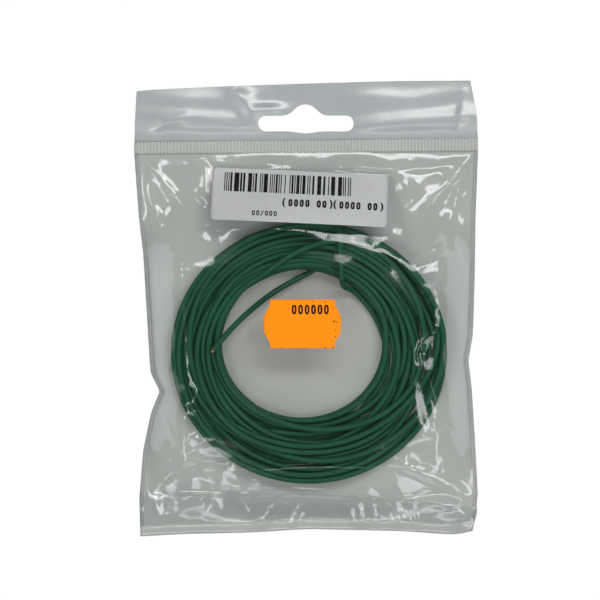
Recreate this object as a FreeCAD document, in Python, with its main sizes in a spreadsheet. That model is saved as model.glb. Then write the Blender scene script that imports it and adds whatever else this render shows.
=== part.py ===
import FreeCAD, Part
import math
import os
import Sketcher

# Coil of hook-up wire in a header bag, lying on its back film.
# +X to the right, +Y towards the header, +Z out of the bag's front, millimetres.
# The origin is under the middle of the bag, on the surface that it lies on.

SIZES = [
    ("wire_diameter", 1.9),
    ("conductor_diameter", 0.9),
    ("conductor_clearance", 0.03),
    ("turn_gap", 0.45),
    ("layers", 4),
    ("ring_outer_width", 92.2),
    ("ring_outer_length", 87.2),
    ("ring_inner_width", 54.0),
    ("ring_inner_length", 49.6),
    ("ring_inner_shift_x", -2.3),
    ("ring_inner_shift_y", 2.8),
    ("tie_angle", 72),
    ("tie_lift_gap", 0.6),
    ("coil_side_shift", 1.0),
    ("side_room", 11.4),
    ("bottom_room", 18.2),
    ("top_room", 23.7),
    ("coil_travel", 5.0),
    ("film_thickness", 0.15),
    ("film_clearance", 0.3),
    ("film_fullness", 0.5),
    ("side_rise", 13.0),
    ("bottom_rise", 18.0),
    ("corner_fade", 42.0),
    ("edge_gather", 0.5),
    ("seam_width", 1.2),
    ("seam_thickness", 0.3),
    ("waist_left", 3.6),
    ("waist_right", 1.2),
    ("waist_height", 47.0),
    ("waist_spread", 24.0),
    ("header_length", 20.0),
    ("header_corner", 1.0),
    ("slot_width", 32.2),
    ("slot_height", 5.4),
    ("slot_drop", 14.4),
    ("hump_radius", 4.1),
    ("hump_rise", 2.2),
    ("weld_length", 3.9),
    ("rib_pitch", 1.12),
    ("rib_width", 0.6),
    ("rib_height", 0.15),
    ("mouth_margin", 3.5),
    ("flap_length", 15.7),
    ("tape_width", 5.0),
    ("tape_thickness", 0.1),
    ("tape_margin", 4.0),
    ("tape_end_margin", 3.0),
    ("label_width", 58.7),
    ("label_length", 17.6),
    ("label_thickness", 0.1),
    ("label_corner", 1.3),
    ("label_drop", 39.4),
    ("label_shift", -2.2),
    ("label_turn", -2.7),
    ("sticker_width", 25.6),
    ("sticker_flat", 21.6),
    ("sticker_length", 16.1),
    ("sticker_thickness", 0.1),
    ("sticker_shift", -1.2),
    ("sticker_rise", 9.7),
    ("stuck_gap", 0.12),
]

# Sizes that follow from the ones above, as formulas of the sheet.
FORMULAS = [
    ("bag_width", "ring_outer_width + 2 * side_room"),
    ("pouch_length", "bottom_room + ring_outer_length + top_room"),
    ("bag_length", "pouch_length + weld_length + header_length"),
    ("fold_y", "-bag_length / 2"),
    ("weld_bottom_y", "fold_y + pouch_length"),
    ("weld_top_y", "weld_bottom_y + weld_length"),
    ("slot_y", "bag_length / 2 - slot_drop"),
    ("coil_y", "fold_y + bottom_room + ring_outer_length / 2"),
    ("top_rise", "top_room - coil_travel"),
    ("layer_rise", "wire_diameter + turn_gap"),
    ("floor_level", "film_thickness + film_clearance + wire_diameter / 2"),
    ("tie_lift", "wire_diameter + tie_lift_gap"),
    ("stack_rise", "layer_rise * (layers - 1)"),
    ("over_level", "floor_level + tie_lift + stack_rise + layer_rise"),
    ("crown_high", "over_level + wire_diameter / 2 + 2 * film_clearance"),
    ("crown_low", "floor_level + stack_rise + wire_diameter / 2 + 3 * film_clearance"),
]

# How finely the curved film follows its formula, in cells across and up the pouch and the flap.
FILM_COLUMNS = 44
FILM_ROWS = 52
FLAP_ROWS = 26

doc = FreeCAD.newDocument("WireCoilBag")
sheet = doc.addObject("Spreadsheet::Sheet", "Sizes")


def fill_sheet():
    """Write the driving sizes and the formulas, one row each, with their names."""
    for row, (name, value) in enumerate(SIZES, start=1):
        sheet.set("A%d" % row, name)
        sheet.set("B%d" % row, str(value))
        sheet.setAlias("B%d" % row, name)
    for row, (name, formula) in enumerate(FORMULAS, start=len(SIZES) + 1):
        sheet.set("A%d" % row, name)
        sheet.set("B%d" % row, "=" + formula)
        sheet.setAlias("B%d" % row, name)
    doc.recompute()


def size(name):
    """One value of the sheet."""
    return float(getattr(sheet, name))


def bind(item, prop, formula):
    """Tie a property of a document object to the sheet."""
    item.setExpression(prop, formula)


def origin_plane(body, role):
    """The body's own origin plane of that role."""
    for feature in body.Origin.OriginFeatures:
        if feature.Role == role:
            return feature
    raise RuntimeError("no plane " + role)


def new_sketch(body, name, level="0"):
    """A sketch on the body's XY plane, raised to a level."""
    sketch = body.newObject("Sketcher::SketchObject", name)
    sketch.AttachmentSupport = [(origin_plane(body, "XY_Plane"), "")]
    sketch.MapMode = "FlatFace"
    bind(sketch, "AttachmentOffset.Base.z", level)
    return sketch


def constrain(sketch, kind, *places, formula=None, start=1.0):
    """Add one constraint, and bind its value to the sheet where it has one."""
    if formula is None:
        return sketch.addConstraint(Sketcher.Constraint(kind, *places))
    number = sketch.addConstraint(Sketcher.Constraint(kind, *places, start))
    sketch.setExpression("Constraints[%d]" % number, formula)
    return number


def draw_rectangle(sketch, width, length, middle_y):
    """A rectangle centred on the Y axis, whose sizes are formulas."""
    corners = [(-1, -1), (1, -1), (1, 1), (-1, 1)]
    for here, there in zip(corners, corners[1:] + corners[:1]):
        line = Part.LineSegment(FreeCAD.Vector(*here, 0), FreeCAD.Vector(*there, 0))
        sketch.addGeometry(line, False)
    for side in range(4):
        constrain(sketch, "Coincident", side, 2, (side + 1) % 4, 1)
    constrain(sketch, "Horizontal", 0)
    constrain(sketch, "Vertical", 1)
    constrain(sketch, "Horizontal", 2)
    constrain(sketch, "Vertical", 3)
    constrain(sketch, "DistanceX", -1, 1, 1, 1, formula=width + " / 2")
    constrain(sketch, "DistanceX", 0, 1, 0, 2, formula=width)
    constrain(sketch, "DistanceY", 1, 1, 1, 2, formula=length)
    constrain(sketch, "DistanceY", -1, 1, 1, 1, formula="%s - (%s) / 2" % (middle_y, length))


def draw_stadium(sketch):
    """The long, round-ended opening of the euro slot."""
    half = size("slot_height") / 2
    reach = size("slot_width") / 2 - half
    level = size("slot_y")
    left = FreeCAD.Vector(-reach, level, 0)
    right = FreeCAD.Vector(reach, level, 0)
    rise = FreeCAD.Vector(0, half, 0)
    up = FreeCAD.Vector(0, 0, 1)
    quarter = math.pi / 2
    sketch.addGeometry(Part.LineSegment(left - rise, right - rise), False)
    sketch.addGeometry(Part.ArcOfCircle(Part.Circle(right, up, half), -quarter, quarter), False)
    sketch.addGeometry(Part.LineSegment(right + rise, left + rise), False)
    sketch.addGeometry(Part.ArcOfCircle(Part.Circle(left, up, half), quarter, 3 * quarter), False)
    constrain(sketch, "Tangent", 0, 2, 1, 1)
    constrain(sketch, "Tangent", 1, 2, 2, 1)
    constrain(sketch, "Tangent", 2, 2, 3, 1)
    constrain(sketch, "Tangent", 3, 2, 0, 1)
    constrain(sketch, "Horizontal", 0)
    constrain(sketch, "Radius", 1, formula="Sizes.slot_height / 2", start=half)
    constrain(sketch, "DistanceX", 3, 3, 1, 3, start=2 * reach,
              formula="Sizes.slot_width - Sizes.slot_height")
    constrain(sketch, "DistanceX", -1, 1, 1, 3, start=reach,
              formula="(Sizes.slot_width - Sizes.slot_height) / 2")
    constrain(sketch, "DistanceY", -1, 1, 1, 3, start=level, formula="Sizes.slot_y")


def draw_hump(sketch):
    """The round hump above the middle of the euro slot, where one hook hangs."""
    centre = FreeCAD.Vector(0, size("slot_y") + size("hump_rise"), 0)
    circle = Part.Circle(centre, FreeCAD.Vector(0, 0, 1), size("hump_radius"))
    sketch.addGeometry(circle, False)
    constrain(sketch, "PointOnObject", 0, 3, -2)
    constrain(sketch, "Radius", 0, formula="Sizes.hump_radius", start=size("hump_radius"))
    constrain(sketch, "DistanceY", -1, 1, 0, 3, start=centre.y,
              formula="Sizes.slot_y + Sizes.hump_rise")


def new_pad(body, sketch, name, thickness):
    """Pad a sketch upwards by a formula of the sheet."""
    pad = body.newObject("PartDesign::Pad", name)
    pad.Profile = sketch
    bind(pad, "Length", thickness)
    return pad


def cut_through(body, sketch, name, thickness):
    """Cut a sketch up through the sheet of film, and see that it took material."""
    before = body.Shape.Volume
    pocket = body.newObject("PartDesign::Pocket", name)
    pocket.Profile = sketch
    pocket.Reversed = True
    bind(pocket, "Length", thickness)
    doc.recompute()
    if not body.Shape.Volume < before - 1e-6:
        raise RuntimeError(name + " cut nothing")


def header_ply(label, level):
    """One ply of the header: a film rectangle with rounded top corners and the slot."""
    body = doc.addObject("PartDesign::Body", label)
    body.Label = label
    sketch = new_sketch(body, label + "_outline", level)
    draw_rectangle(sketch, "Sizes.bag_width", "Sizes.header_length",
                   "(Sizes.weld_top_y + Sizes.bag_length / 2) / 2")
    film = new_pad(body, sketch, label + "_film", "Sizes.film_thickness")
    doc.recompute()
    top = size("bag_length") / 2
    corners = []
    for number, edge in enumerate(body.Shape.Edges, start=1):
        upright = abs(edge.Vertexes[0].X - edge.Vertexes[-1].X) < 1e-6
        upright = upright and abs(edge.Vertexes[0].Y - edge.Vertexes[-1].Y) < 1e-6
        if upright and abs(edge.Vertexes[0].Y - top) < 1e-6:
            corners.append("Edge%d" % number)
    fillet = body.newObject("PartDesign::Fillet", label + "_corners")
    fillet.Base = (film, corners)
    bind(fillet, "Radius", "Sizes.header_corner")
    doc.recompute()
    slot = new_sketch(body, label + "_slot_outline", level)
    draw_stadium(slot)
    cut_through(body, slot, label + "_slot", "Sizes.film_thickness")
    hump = new_sketch(body, label + "_hump_outline", level)
    draw_hump(hump)
    cut_through(body, hump, label + "_hump", "Sizes.film_thickness")
    return body


def header_weld():
    """The ribbed band that welds both plies, with a rib at every pitch across the bag."""
    label = "header_weld"
    body = doc.addObject("PartDesign::Body", label)
    body.Label = label
    band = new_sketch(body, "weld_band_outline")
    draw_rectangle(band, "Sizes.bag_width", "Sizes.weld_length",
                   "(Sizes.weld_bottom_y + Sizes.weld_top_y) / 2")
    new_pad(body, band, "weld_band", "2 * Sizes.film_thickness")
    doc.recompute()
    count = int(size("bag_width") / size("rib_pitch"))
    first = "-Sizes.rib_pitch * %d / 2" % (count - 1)
    rib = new_sketch(body, "weld_rib_outline", "2 * Sizes.film_thickness")
    draw_rectangle(rib, "Sizes.rib_width", "Sizes.weld_length",
                   "(Sizes.weld_bottom_y + Sizes.weld_top_y) / 2")
    bind(rib, "AttachmentOffset.Base.x", first)
    pad = new_pad(body, rib, "weld_rib", "Sizes.rib_height")
    doc.recompute()
    row = body.newObject("PartDesign::LinearPattern", "weld_ribs")
    row.Originals = [pad]
    row.Direction = (band, ["H_Axis"])
    row.Occurrences = count
    bind(row, "Length", "Sizes.rib_pitch * %d" % (count - 1))
    body.Tip = row
    doc.recompute()
    return body


def rounded(share):
    """How far film has risen from a seam, 0 at the seam and 1 at the end of its slope."""
    share = min(max(share, 0.0), 1.0)
    full = size("film_fullness")
    return (1 + full) * share - full * share ** 3


def eased(share):
    """A smooth step from 0 to 1."""
    share = min(max(share, 0.0), 1.0)
    return share * share * (3 - 2 * share)


def side_x(side, y):
    """The bag's edge at a height: side is -1 for left, 1 for right, drawn in at the waist."""
    depth = size("waist_left") if side < 0 else size("waist_right")
    away = (y - size("fold_y") - size("waist_height")) / size("waist_spread")
    return side * (size("bag_width") / 2 - depth * math.exp(-away * away))


def crown(y):
    """The inner height of the pouch's middle, which falls from the tie to the bottom."""
    low_y = size("fold_y") + size("bottom_room")
    high_y = size("coil_y") + size("ring_inner_length") / 2
    share = eased((y - low_y) / (high_y - low_y))
    return size("crown_low") + (size("crown_high") - size("crown_low")) * share


def front_film_z(x, y):
    """The front film's underside: low at all four seams and full over the coil."""
    seam_level = size("film_thickness") + size("seam_thickness") / 2
    from_left = x - side_x(-1, y) - size("seam_width")
    from_right = side_x(1, y) - size("seam_width") - x
    across = rounded(min(from_left, from_right) / size("side_rise"))
    from_mouth = y - size("fold_y") - size("mouth_margin")
    from_weld = size("weld_bottom_y") - y
    along = rounded(from_mouth / size("bottom_rise")) * rounded(from_weld / size("top_rise"))
    from_coil = math.hypot(x, y - size("coil_y"))
    corner = math.hypot(size("bag_width") / 2, size("weld_bottom_y") - size("coil_y"))
    fade = rounded((corner - from_coil) / size("corner_fade"))
    return seam_level + (crown(y) - seam_level) * across * along * fade


def gathered(share):
    """A share moved towards the nearer end, because film bends most beside its seams."""
    return share - size("edge_gather") * math.sin(2 * math.pi * share) / (2 * math.pi)


def film_solid(place, level, thickness, columns, rows):
    """A sheet of even thickness over a grid: place(s, t) gives x and y, level(x, y) its z."""
    lower = []
    upper = []
    for column in range(columns + 1):
        low_line = []
        high_line = []
        for row in range(rows + 1):
            x, y = place(gathered(column / columns), gathered(row / rows))
            z = level(x, y)
            low_line.append(FreeCAD.Vector(x, y, z))
            high_line.append(FreeCAD.Vector(x, y, z + thickness))
        lower.append(low_line)
        upper.append(high_line)
    faces = []
    for grid in (lower, upper):
        surface = Part.BSplineSurface()
        surface.interpolate(grid)
        faces.append(surface.toShape())
    walls = []
    for low_edge, high_edge in zip(faces[0].Edges, faces[1].Edges):
        walls.append(Part.makeRuledSurface(low_edge, high_edge))
    shell = Part.makeShell(faces + walls)
    shell.sewShape()
    solid = Part.makeSolid(shell)
    if solid.Volume < 0:
        solid.reverse()
    return solid


def add_feature(label, shape):
    """Put a finished shape into the document under its name."""
    item = doc.addObject("Part::Feature", label)
    item.Label = label
    item.Shape = shape
    item.Placement = FreeCAD.Placement()
    return item


def between(low, high, share):
    """The value a share of the way from low to high."""
    return low + (high - low) * share


def side_curve(side, inset, bottom, top):
    """The bag's edge from bottom to top as a curve, moved in by an inset."""
    places = []
    for row in range(FILM_ROWS + 1):
        y = between(bottom, top, row / FILM_ROWS)
        places.append(FreeCAD.Vector(side_x(side, y) - side * inset, y, 0))
    curve = Part.BSplineCurve()
    curve.interpolate(places)
    return curve


def flat_strip(left, right, level, thickness):
    """A flat sheet between two curves that run up the bag."""
    edges = [left.toShape(), right.toShape()]
    edges.append(Part.makeLine(left.StartPoint, right.StartPoint))
    edges.append(Part.makeLine(left.EndPoint, right.EndPoint))
    face = Part.Face(Part.Wire(Part.__sortEdges__(edges)))
    face.translate(FreeCAD.Vector(0, 0, level))
    return face.extrude(FreeCAD.Vector(0, 0, thickness))


def pouch_films():
    """The back film, flat on what the bag lies on, and the front film over the coil."""
    bottom = size("fold_y")
    top = size("weld_bottom_y")
    mouth = bottom + size("mouth_margin")
    seam = size("seam_width")
    thickness = size("film_thickness")

    def front_place(across, along):
        y = between(mouth, top, along)
        return between(side_x(-1, y) + seam, side_x(1, y) - seam, across), y

    left = side_curve(-1, 0, bottom, top)
    right = side_curve(1, 0, bottom, top)
    add_feature("pouch_back_film", flat_strip(left, right, 0, thickness))
    front = film_solid(front_place, front_film_z, thickness, FILM_COLUMNS, FILM_ROWS)
    add_feature("pouch_front_film", front)


def side_seam(label, side):
    """The welded strip down one side of the pouch, on the back film."""
    mouth = size("fold_y") + size("mouth_margin")
    top = size("weld_bottom_y")
    edge = side_curve(side, 0, mouth, top)
    inner = side_curve(side, size("seam_width"), mouth, top)
    add_feature(label, flat_strip(edge, inner, size("film_thickness"), size("seam_thickness")))


def flap_z(x, y):
    """The closing flap's underside: over the front film, and down to the back film at the fold."""
    fold_level = size("film_thickness") + size("film_clearance")
    over = front_film_z(x, y) + size("film_thickness") + size("film_clearance")
    over += size("tape_thickness") + size("stuck_gap")
    share = eased((y - size("fold_y")) / size("mouth_margin"))
    return between(fold_level, over, share)


def closing_flap():
    """The flap that folds up over the pouch's mouth, and the tape that holds it."""
    fold = size("fold_y")
    edge = fold + size("flap_length")

    def flap_place(across, along):
        y = between(fold + size("film_clearance"), edge, along)
        return between(side_x(-1, y), side_x(1, y), across), y

    tape_top = edge - size("tape_margin")
    tape_bottom = tape_top - size("tape_width")
    margin = size("tape_end_margin") + size("seam_width")

    def tape_place(across, along):
        y = between(tape_bottom, tape_top, along)
        return between(side_x(-1, y) + margin, side_x(1, y) - margin, across), y

    def tape_z(x, y):
        return front_film_z(x, y) + size("film_thickness") + size("film_clearance")

    flap = film_solid(flap_place, flap_z, size("film_thickness"), FILM_COLUMNS, FLAP_ROWS)
    add_feature("closing_flap", flap)
    tape = film_solid(tape_place, tape_z, size("tape_thickness"), FILM_COLUMNS, 4)
    add_feature("flap_adhesive_tape", tape)


def stuck_sheet(label, outline, centre, turn, width, length, thickness):
    """A label on the front film: a film patch trimmed to its outline seen from the front."""
    angle = math.radians(turn)
    margin = 1.0

    def place(across, along):
        u = between(-width / 2 - margin, width / 2 + margin, across)
        v = between(-length / 2 - margin, length / 2 + margin, along)
        x = centre.x + u * math.cos(angle) - v * math.sin(angle)
        y = centre.y + u * math.sin(angle) + v * math.cos(angle)
        return x, y

    def level(x, y):
        return front_film_z(x, y) + size("film_thickness") + size("stuck_gap")

    patch = film_solid(place, level, thickness, 24, 12)
    block = Part.Face(outline).extrude(FreeCAD.Vector(0, 0, 2 * size("crown_high")))
    block.Placement = FreeCAD.Placement(centre, FreeCAD.Rotation(FreeCAD.Vector(0, 0, 1), turn))
    trimmed = patch.common(block)
    add_feature(label, trimmed.Solids[0])


def rounded_rectangle(width, length, radius):
    """A closed wire about the origin, with equal round corners."""
    face = Part.makePlane(width, length, FreeCAD.Vector(-width / 2, -length / 2, 0))
    box = face.extrude(FreeCAD.Vector(0, 0, 1))
    upright = [edge for edge in box.Edges if abs(edge.Vertexes[0].Z - edge.Vertexes[-1].Z) > 0.5]
    bottom = [face for face in box.makeFillet(radius, upright).Faces if face.CenterOfMass.z < 1e-6]
    return bottom[0].OuterWire


def sticker_outline(width, flat, length):
    """The price sticker's wire: straight top and bottom edges and sides that bulge in waves."""
    half = length / 2
    neck = flat / 2
    belly = width / 2
    right = [
        (neck, half),
        (neck + 0.25 * (belly - neck), 0.62 * half),
        (belly, 0.0),
        (neck + 0.25 * (belly - neck), -0.62 * half),
        (neck, -half),
    ]
    edges = []
    for side in (1, -1):
        curve = Part.BSplineCurve()
        curve.interpolate([FreeCAD.Vector(side * x, y, 0) for x, y in right])
        edges.append(curve.toShape())
    for level in (half, -half):
        edges.append(Part.makeLine(FreeCAD.Vector(-neck, level, 0), FreeCAD.Vector(neck, level, 0)))
    return Part.Wire(Part.__sortEdges__(edges))


def labels():
    """The barcode label below the header and the price sticker over the coil's opening."""
    header_y = size("bag_length") / 2
    label_at = FreeCAD.Vector(size("label_shift"), header_y - size("label_drop"), 0)
    outline = rounded_rectangle(size("label_width"), size("label_length"), size("label_corner"))
    stuck_sheet("barcode_label", outline, label_at, size("label_turn"),
                size("label_width"), size("label_length"), size("label_thickness"))
    sticker_at = FreeCAD.Vector(size("sticker_shift"), size("coil_y") + size("sticker_rise"), 0)
    outline = sticker_outline(size("sticker_width"), size("sticker_flat"), size("sticker_length"))
    stuck_sheet("price_sticker", outline, sticker_at, 0.0,
                size("sticker_width"), size("sticker_length"), size("sticker_thickness"))


def arc_edge(start, direction, finish):
    """The arc that leaves start in a direction and ends at finish, or a straight edge."""
    chord = finish - start
    along = FreeCAD.Vector(chord).normalize()
    side = direction - along * direction.dot(along)
    if side.Length < 1e-7:
        return Part.makeLine(start, finish)
    angle = math.atan2(side.Length, direction.dot(along))
    sag = side.normalize() * (chord.Length / 2 * math.tan(angle / 2))
    return Part.Arc(start, (start + finish) / 2 + sag, finish).toShape()


def biarc(start, start_way, finish, finish_way):
    """Two arcs that meet smoothly and join two places, each with its own direction."""
    span = finish - start
    ways = start_way + finish_way
    spread = 2 * (1 - start_way.dot(finish_way))
    reach = span.dot(ways)
    length = (math.sqrt(reach * reach + spread * span.dot(span)) - reach) / spread
    middle = (start + finish + (start_way - finish_way) * length) / 2
    chord = FreeCAD.Vector(middle - start).normalize()
    middle_way = chord * (2 * chord.dot(start_way)) - start_way
    return [arc_edge(start, start_way, middle), arc_edge(middle, middle_way, finish)]


def ring_point(degrees, outward, level):
    """A place in the ring: outward is 0 on its inner turn and 1 on its outer turn."""
    half = size("wire_diameter") / 2
    centre_x = size("coil_side_shift") + size("ring_inner_shift_x") * (1 - outward)
    centre_y = size("coil_y") + size("ring_inner_shift_y") * (1 - outward)
    across = between(size("ring_inner_width") / 2 + half,
                     size("ring_outer_width") / 2 - half, outward)
    along = between(size("ring_inner_length") / 2 + half,
                    size("ring_outer_length") / 2 - half, outward)
    angle = math.radians(degrees)
    return FreeCAD.Vector(centre_x + across * math.cos(angle),
                          centre_y + along * math.sin(angle), level)


def turns_per_layer():
    """Turns and a half that fit the ring where it is narrowest."""
    beside = (size("ring_outer_width") - size("ring_inner_width")) / 2
    along = (size("ring_outer_length") - size("ring_inner_length")) / 2
    shift = math.hypot(size("ring_inner_shift_x"), size("ring_inner_shift_y"))
    room = min(beside, along) - shift - size("wire_diameter")
    return math.floor(room / size("layer_rise") - 0.5) + 0.5


def coil_stations():
    """A station each quarter turn, clockwise: degrees, outward share and layer."""
    turns = turns_per_layer()
    start = size("tie_angle") - 90
    stations = []
    outward = 0.0
    quarter = 0
    last = int(size("layers")) - 1
    for layer in range(last + 1):
        quarters = round(4 * turns) if layer else round(4 * turns) - 2
        if layer == last:
            quarters -= 1
        to_go = 1.0 - 2 * outward
        rate = to_go / (round(4 * turns) if layer else quarters)
        for step in range(quarters + 1):
            stations.append((start - 90 * quarter, outward + rate * step, layer))
            quarter += 1
        outward += to_go
        if layer < last:
            stations.append((start - 90 * quarter, outward, layer + 0.5))
            quarter += 1
    return stations


def coil_levels(stations):
    """The stations' places: the bundle is lifted over the wire that passes under it."""
    places = []
    for degrees, outward, layer in stations:
        at_tie = (size("tie_angle") - degrees) % 360 < 1
        lift = size("tie_lift") if at_tie else 0.0
        level = size("floor_level") + size("layer_rise") * layer + lift
        places.append(ring_point(degrees, outward, level))
    return places


def coil_ways(stations):
    """The direction of the wire at each station, level, along the ring and its spiral."""
    ways = []
    nudge = 1.0
    for number, (degrees, outward, layer) in enumerate(stations):
        before = stations[max(number - 1, 0)][1]
        after = stations[min(number + 1, len(stations) - 1)][1]
        rate = (after - before) / 180
        back = ring_point(degrees + nudge, outward - rate * nudge, 0)
        ahead = ring_point(degrees - nudge, outward + rate * nudge, 0)
        ways.append((ahead - back).normalize())
    return ways


def coil_path():
    """The wound wire's edges: a biarc for each quarter turn between straight ends."""
    stations = coil_stations()
    places = coil_levels(stations)
    ways = coil_ways(stations)
    end = size("wire_diameter")
    first = places[0] - ways[0] * end
    last = places[-1] + ways[-1] * end
    edges = [Part.makeLine(first, places[0])]
    for number in range(len(places) - 1):
        edges += biarc(places[number], ways[number], places[number + 1], ways[number + 1])
    edges.append(Part.makeLine(places[-1], last))
    return edges, first, stations


def free_route(coil_start):
    """The free end's route: cut end, tail, under the bundle, back over it, to the coil.

    Each point has x and y in millimetres and its height above the floor level in wires.
    """
    over = (size("over_level") - size("floor_level")) / size("wire_diameter")
    points = [
        (-31.3, -14.3, 5.05),
        (-26.4, -8.2, 4.75),
        (-19.4, -1.2, 3.3),
        (-11.4, 5.2, 1.7),
        (-3.4, 9.8, 0.3),
        (4.0, 13.3, 0.0),
        (8.2, 22.0, 0.0),
        (9.6, 31.0, 0.02),
        (10.5, 33.8, 0.52 * over),
        (11.0, 31.0, over),
        (11.3, 20.8, 1.01 * over),
        (11.8, 10.0, 1.02 * over),
        (12.6, 7.0, 0.52 * over),
        (15.2, 6.6, 0.06 * over),
        (19.0, 3.2, 0.0),
        (24.2, -3.8, 0.01),
        (27.4, -13.9, 0.0),
    ]
    route = []
    for x, y, wires in points:
        level = size("floor_level") + wires * size("wire_diameter")
        route.append(FreeCAD.Vector(x, y, level))
    route.append(coil_start)
    return route


def route_edges(route):
    """Straight runs joined by tangent arcs, each as large as its two runs allow."""
    edges = []
    radii = []
    here = route[0]
    for before, corner, after in zip(route, route[1:], route[2:]):
        run_in = corner - before
        run_out = after - corner
        turn = run_in.getAngle(run_out)
        cut = 0.45 * min(run_in.Length, run_out.Length)
        radii.append(cut / math.tan(turn / 2))
        way_in = FreeCAD.Vector(run_in).normalize()
        way_out = FreeCAD.Vector(run_out).normalize()
        arc_start = corner - way_in * cut
        arc_end = corner + way_out * cut
        edges.append(Part.makeLine(here, arc_start))
        edges.append(arc_edge(arc_start, way_in, arc_end))
        here = arc_end
    edges.append(Part.makeLine(here, route[-1]))
    return edges, radii


def tube(edges, diameter):
    """A round bar along the edges, as one unbroken solid."""
    start = edges[0].valueAt(edges[0].FirstParameter)
    way = edges[0].tangentAt(edges[0].FirstParameter)
    profile = Part.Wire([Part.makeCircle(diameter / 2, start, way)])
    return Part.Wire(edges).makePipeShell([profile], True, False)


def path_points(edges, step):
    """Points along the path, about a step apart, each with its distance from the start."""
    points = []
    walked = 0.0
    for edge in edges:
        count = max(int(edge.Length / step), 1)
        low = edge.FirstParameter
        high = edge.LastParameter
        for number in range(count):
            share = number / count
            points.append((edge.valueAt(between(low, high, share)), walked + share * edge.Length))
        walked += edge.Length
    return points


def least_gap(edges, diameter):
    """The least gap of a tube to itself, measured between points that lie apart along it."""
    step = 0.35
    reach = 2 * diameter
    apart = 4 * diameter
    cells = {}
    least = reach
    for place, walked in path_points(edges, step):
        cell = (int(place.x // reach), int(place.y // reach), int(place.z // reach))
        for dx in (-1, 0, 1):
            for dy in (-1, 0, 1):
                for dz in (-1, 0, 1):
                    near = cells.get((cell[0] + dx, cell[1] + dy, cell[2] + dz), ())
                    for other, other_walked in near:
                        if walked - other_walked > apart:
                            least = min(least, place.distanceToPoint(other))
        cells.setdefault(cell, []).append((place, walked))
    return least - diameter


def wire():
    """The wound wire, its free end with tie and tail, and the conductor in that end."""
    diameter = size("wire_diameter")
    coil_edges, coil_start, stations = coil_path()
    free_edges, radii = route_edges(free_route(coil_start))
    coil = tube(coil_edges, diameter)
    free = tube(free_edges, diameter)
    bore = tube(free_edges, size("conductor_diameter") + 2 * size("conductor_clearance"))
    conductor = tube(free_edges, size("conductor_diameter"))
    add_feature("wire_coil", coil)
    add_feature("wire_tie_and_tail", free.cut(bore).Solids[0])
    add_feature("wire_conductor", conductor)
    coil_length = sum(edge.Length for edge in coil_edges)
    free_length = sum(edge.Length for edge in free_edges)
    section = math.pi * diameter * diameter / 4
    print("turns in the coil: %.2f" % ((len(stations) - 1) / 4))
    print("wire length, mm: coil %.1f, tie and tail %.1f" % (coil_length, free_length))
    print("coil volume / section / length: %.5f" % (coil.Volume / section / coil_length))
    print("tie and tail volume / section / length: %.5f" % (free.Volume / section / free_length))
    print("radii of tie and tail, mm:", " ".join("%.1f" % radius for radius in radii))
    print("least gap of the wire to itself, mm: %.3f" % least_gap(free_edges + coil_edges, diameter))


def write_parts(names):
    """Check every object and every sub-part, then write one STEP file for each."""
    doc.recompute()
    for item in doc.Objects:
        if "Invalid" in item.State or "Error" in item.State:
            raise RuntimeError(item.Name + " did not compute")
    parts = [doc.getObjectsByLabel(name)[0] for name in names]
    for part in parts:
        if part.Shape.isNull() or not part.Shape.isValid():
            raise RuntimeError(part.Label + " has no valid shape")
    os.makedirs("parts", exist_ok=True)
    for part in parts:
        part.Shape.exportStep("parts/%s.step" % part.Label)


fill_sheet()
header_ply("header_back_ply", "0")
header_ply("header_front_ply", "Sizes.film_thickness")
header_weld()
pouch_films()
side_seam("left_side_seam", -1)
side_seam("right_side_seam", 1)
closing_flap()
labels()
wire()
write_parts([
    "header_back_ply",
    "header_front_ply",
    "header_weld",
    "pouch_back_film",
    "pouch_front_film",
    "left_side_seam",
    "right_side_seam",
    "closing_flap",
    "flap_adhesive_tape",
    "barcode_label",
    "price_sticker",
    "wire_coil",
    "wire_tie_and_tail",
    "wire_conductor",
])
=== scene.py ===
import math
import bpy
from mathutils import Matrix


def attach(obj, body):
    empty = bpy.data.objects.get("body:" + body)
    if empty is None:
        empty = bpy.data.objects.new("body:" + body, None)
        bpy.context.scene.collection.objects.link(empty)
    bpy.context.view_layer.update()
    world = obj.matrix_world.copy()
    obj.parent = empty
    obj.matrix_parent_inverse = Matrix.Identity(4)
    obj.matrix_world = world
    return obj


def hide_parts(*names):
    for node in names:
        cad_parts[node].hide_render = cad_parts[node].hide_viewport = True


bl_info = {
    "name": "Bagged coil of hook-up wire",
    "version": (1, 0, 0),
    "blender": (4, 5, 0),
    "location": "View3D > Sidebar > Wire bag",
    "description": "Dresses the packed coil of wire in its clear header bag",
    "category": "Object",
}

import bpy
import numpy as np
from mathutils import Vector, noise

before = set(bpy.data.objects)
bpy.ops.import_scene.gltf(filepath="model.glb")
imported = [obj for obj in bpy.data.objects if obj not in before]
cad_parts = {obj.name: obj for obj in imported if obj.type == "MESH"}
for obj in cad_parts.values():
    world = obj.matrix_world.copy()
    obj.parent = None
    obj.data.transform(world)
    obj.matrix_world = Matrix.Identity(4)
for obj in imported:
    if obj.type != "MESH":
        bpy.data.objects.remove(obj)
MM = 0.001

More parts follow.
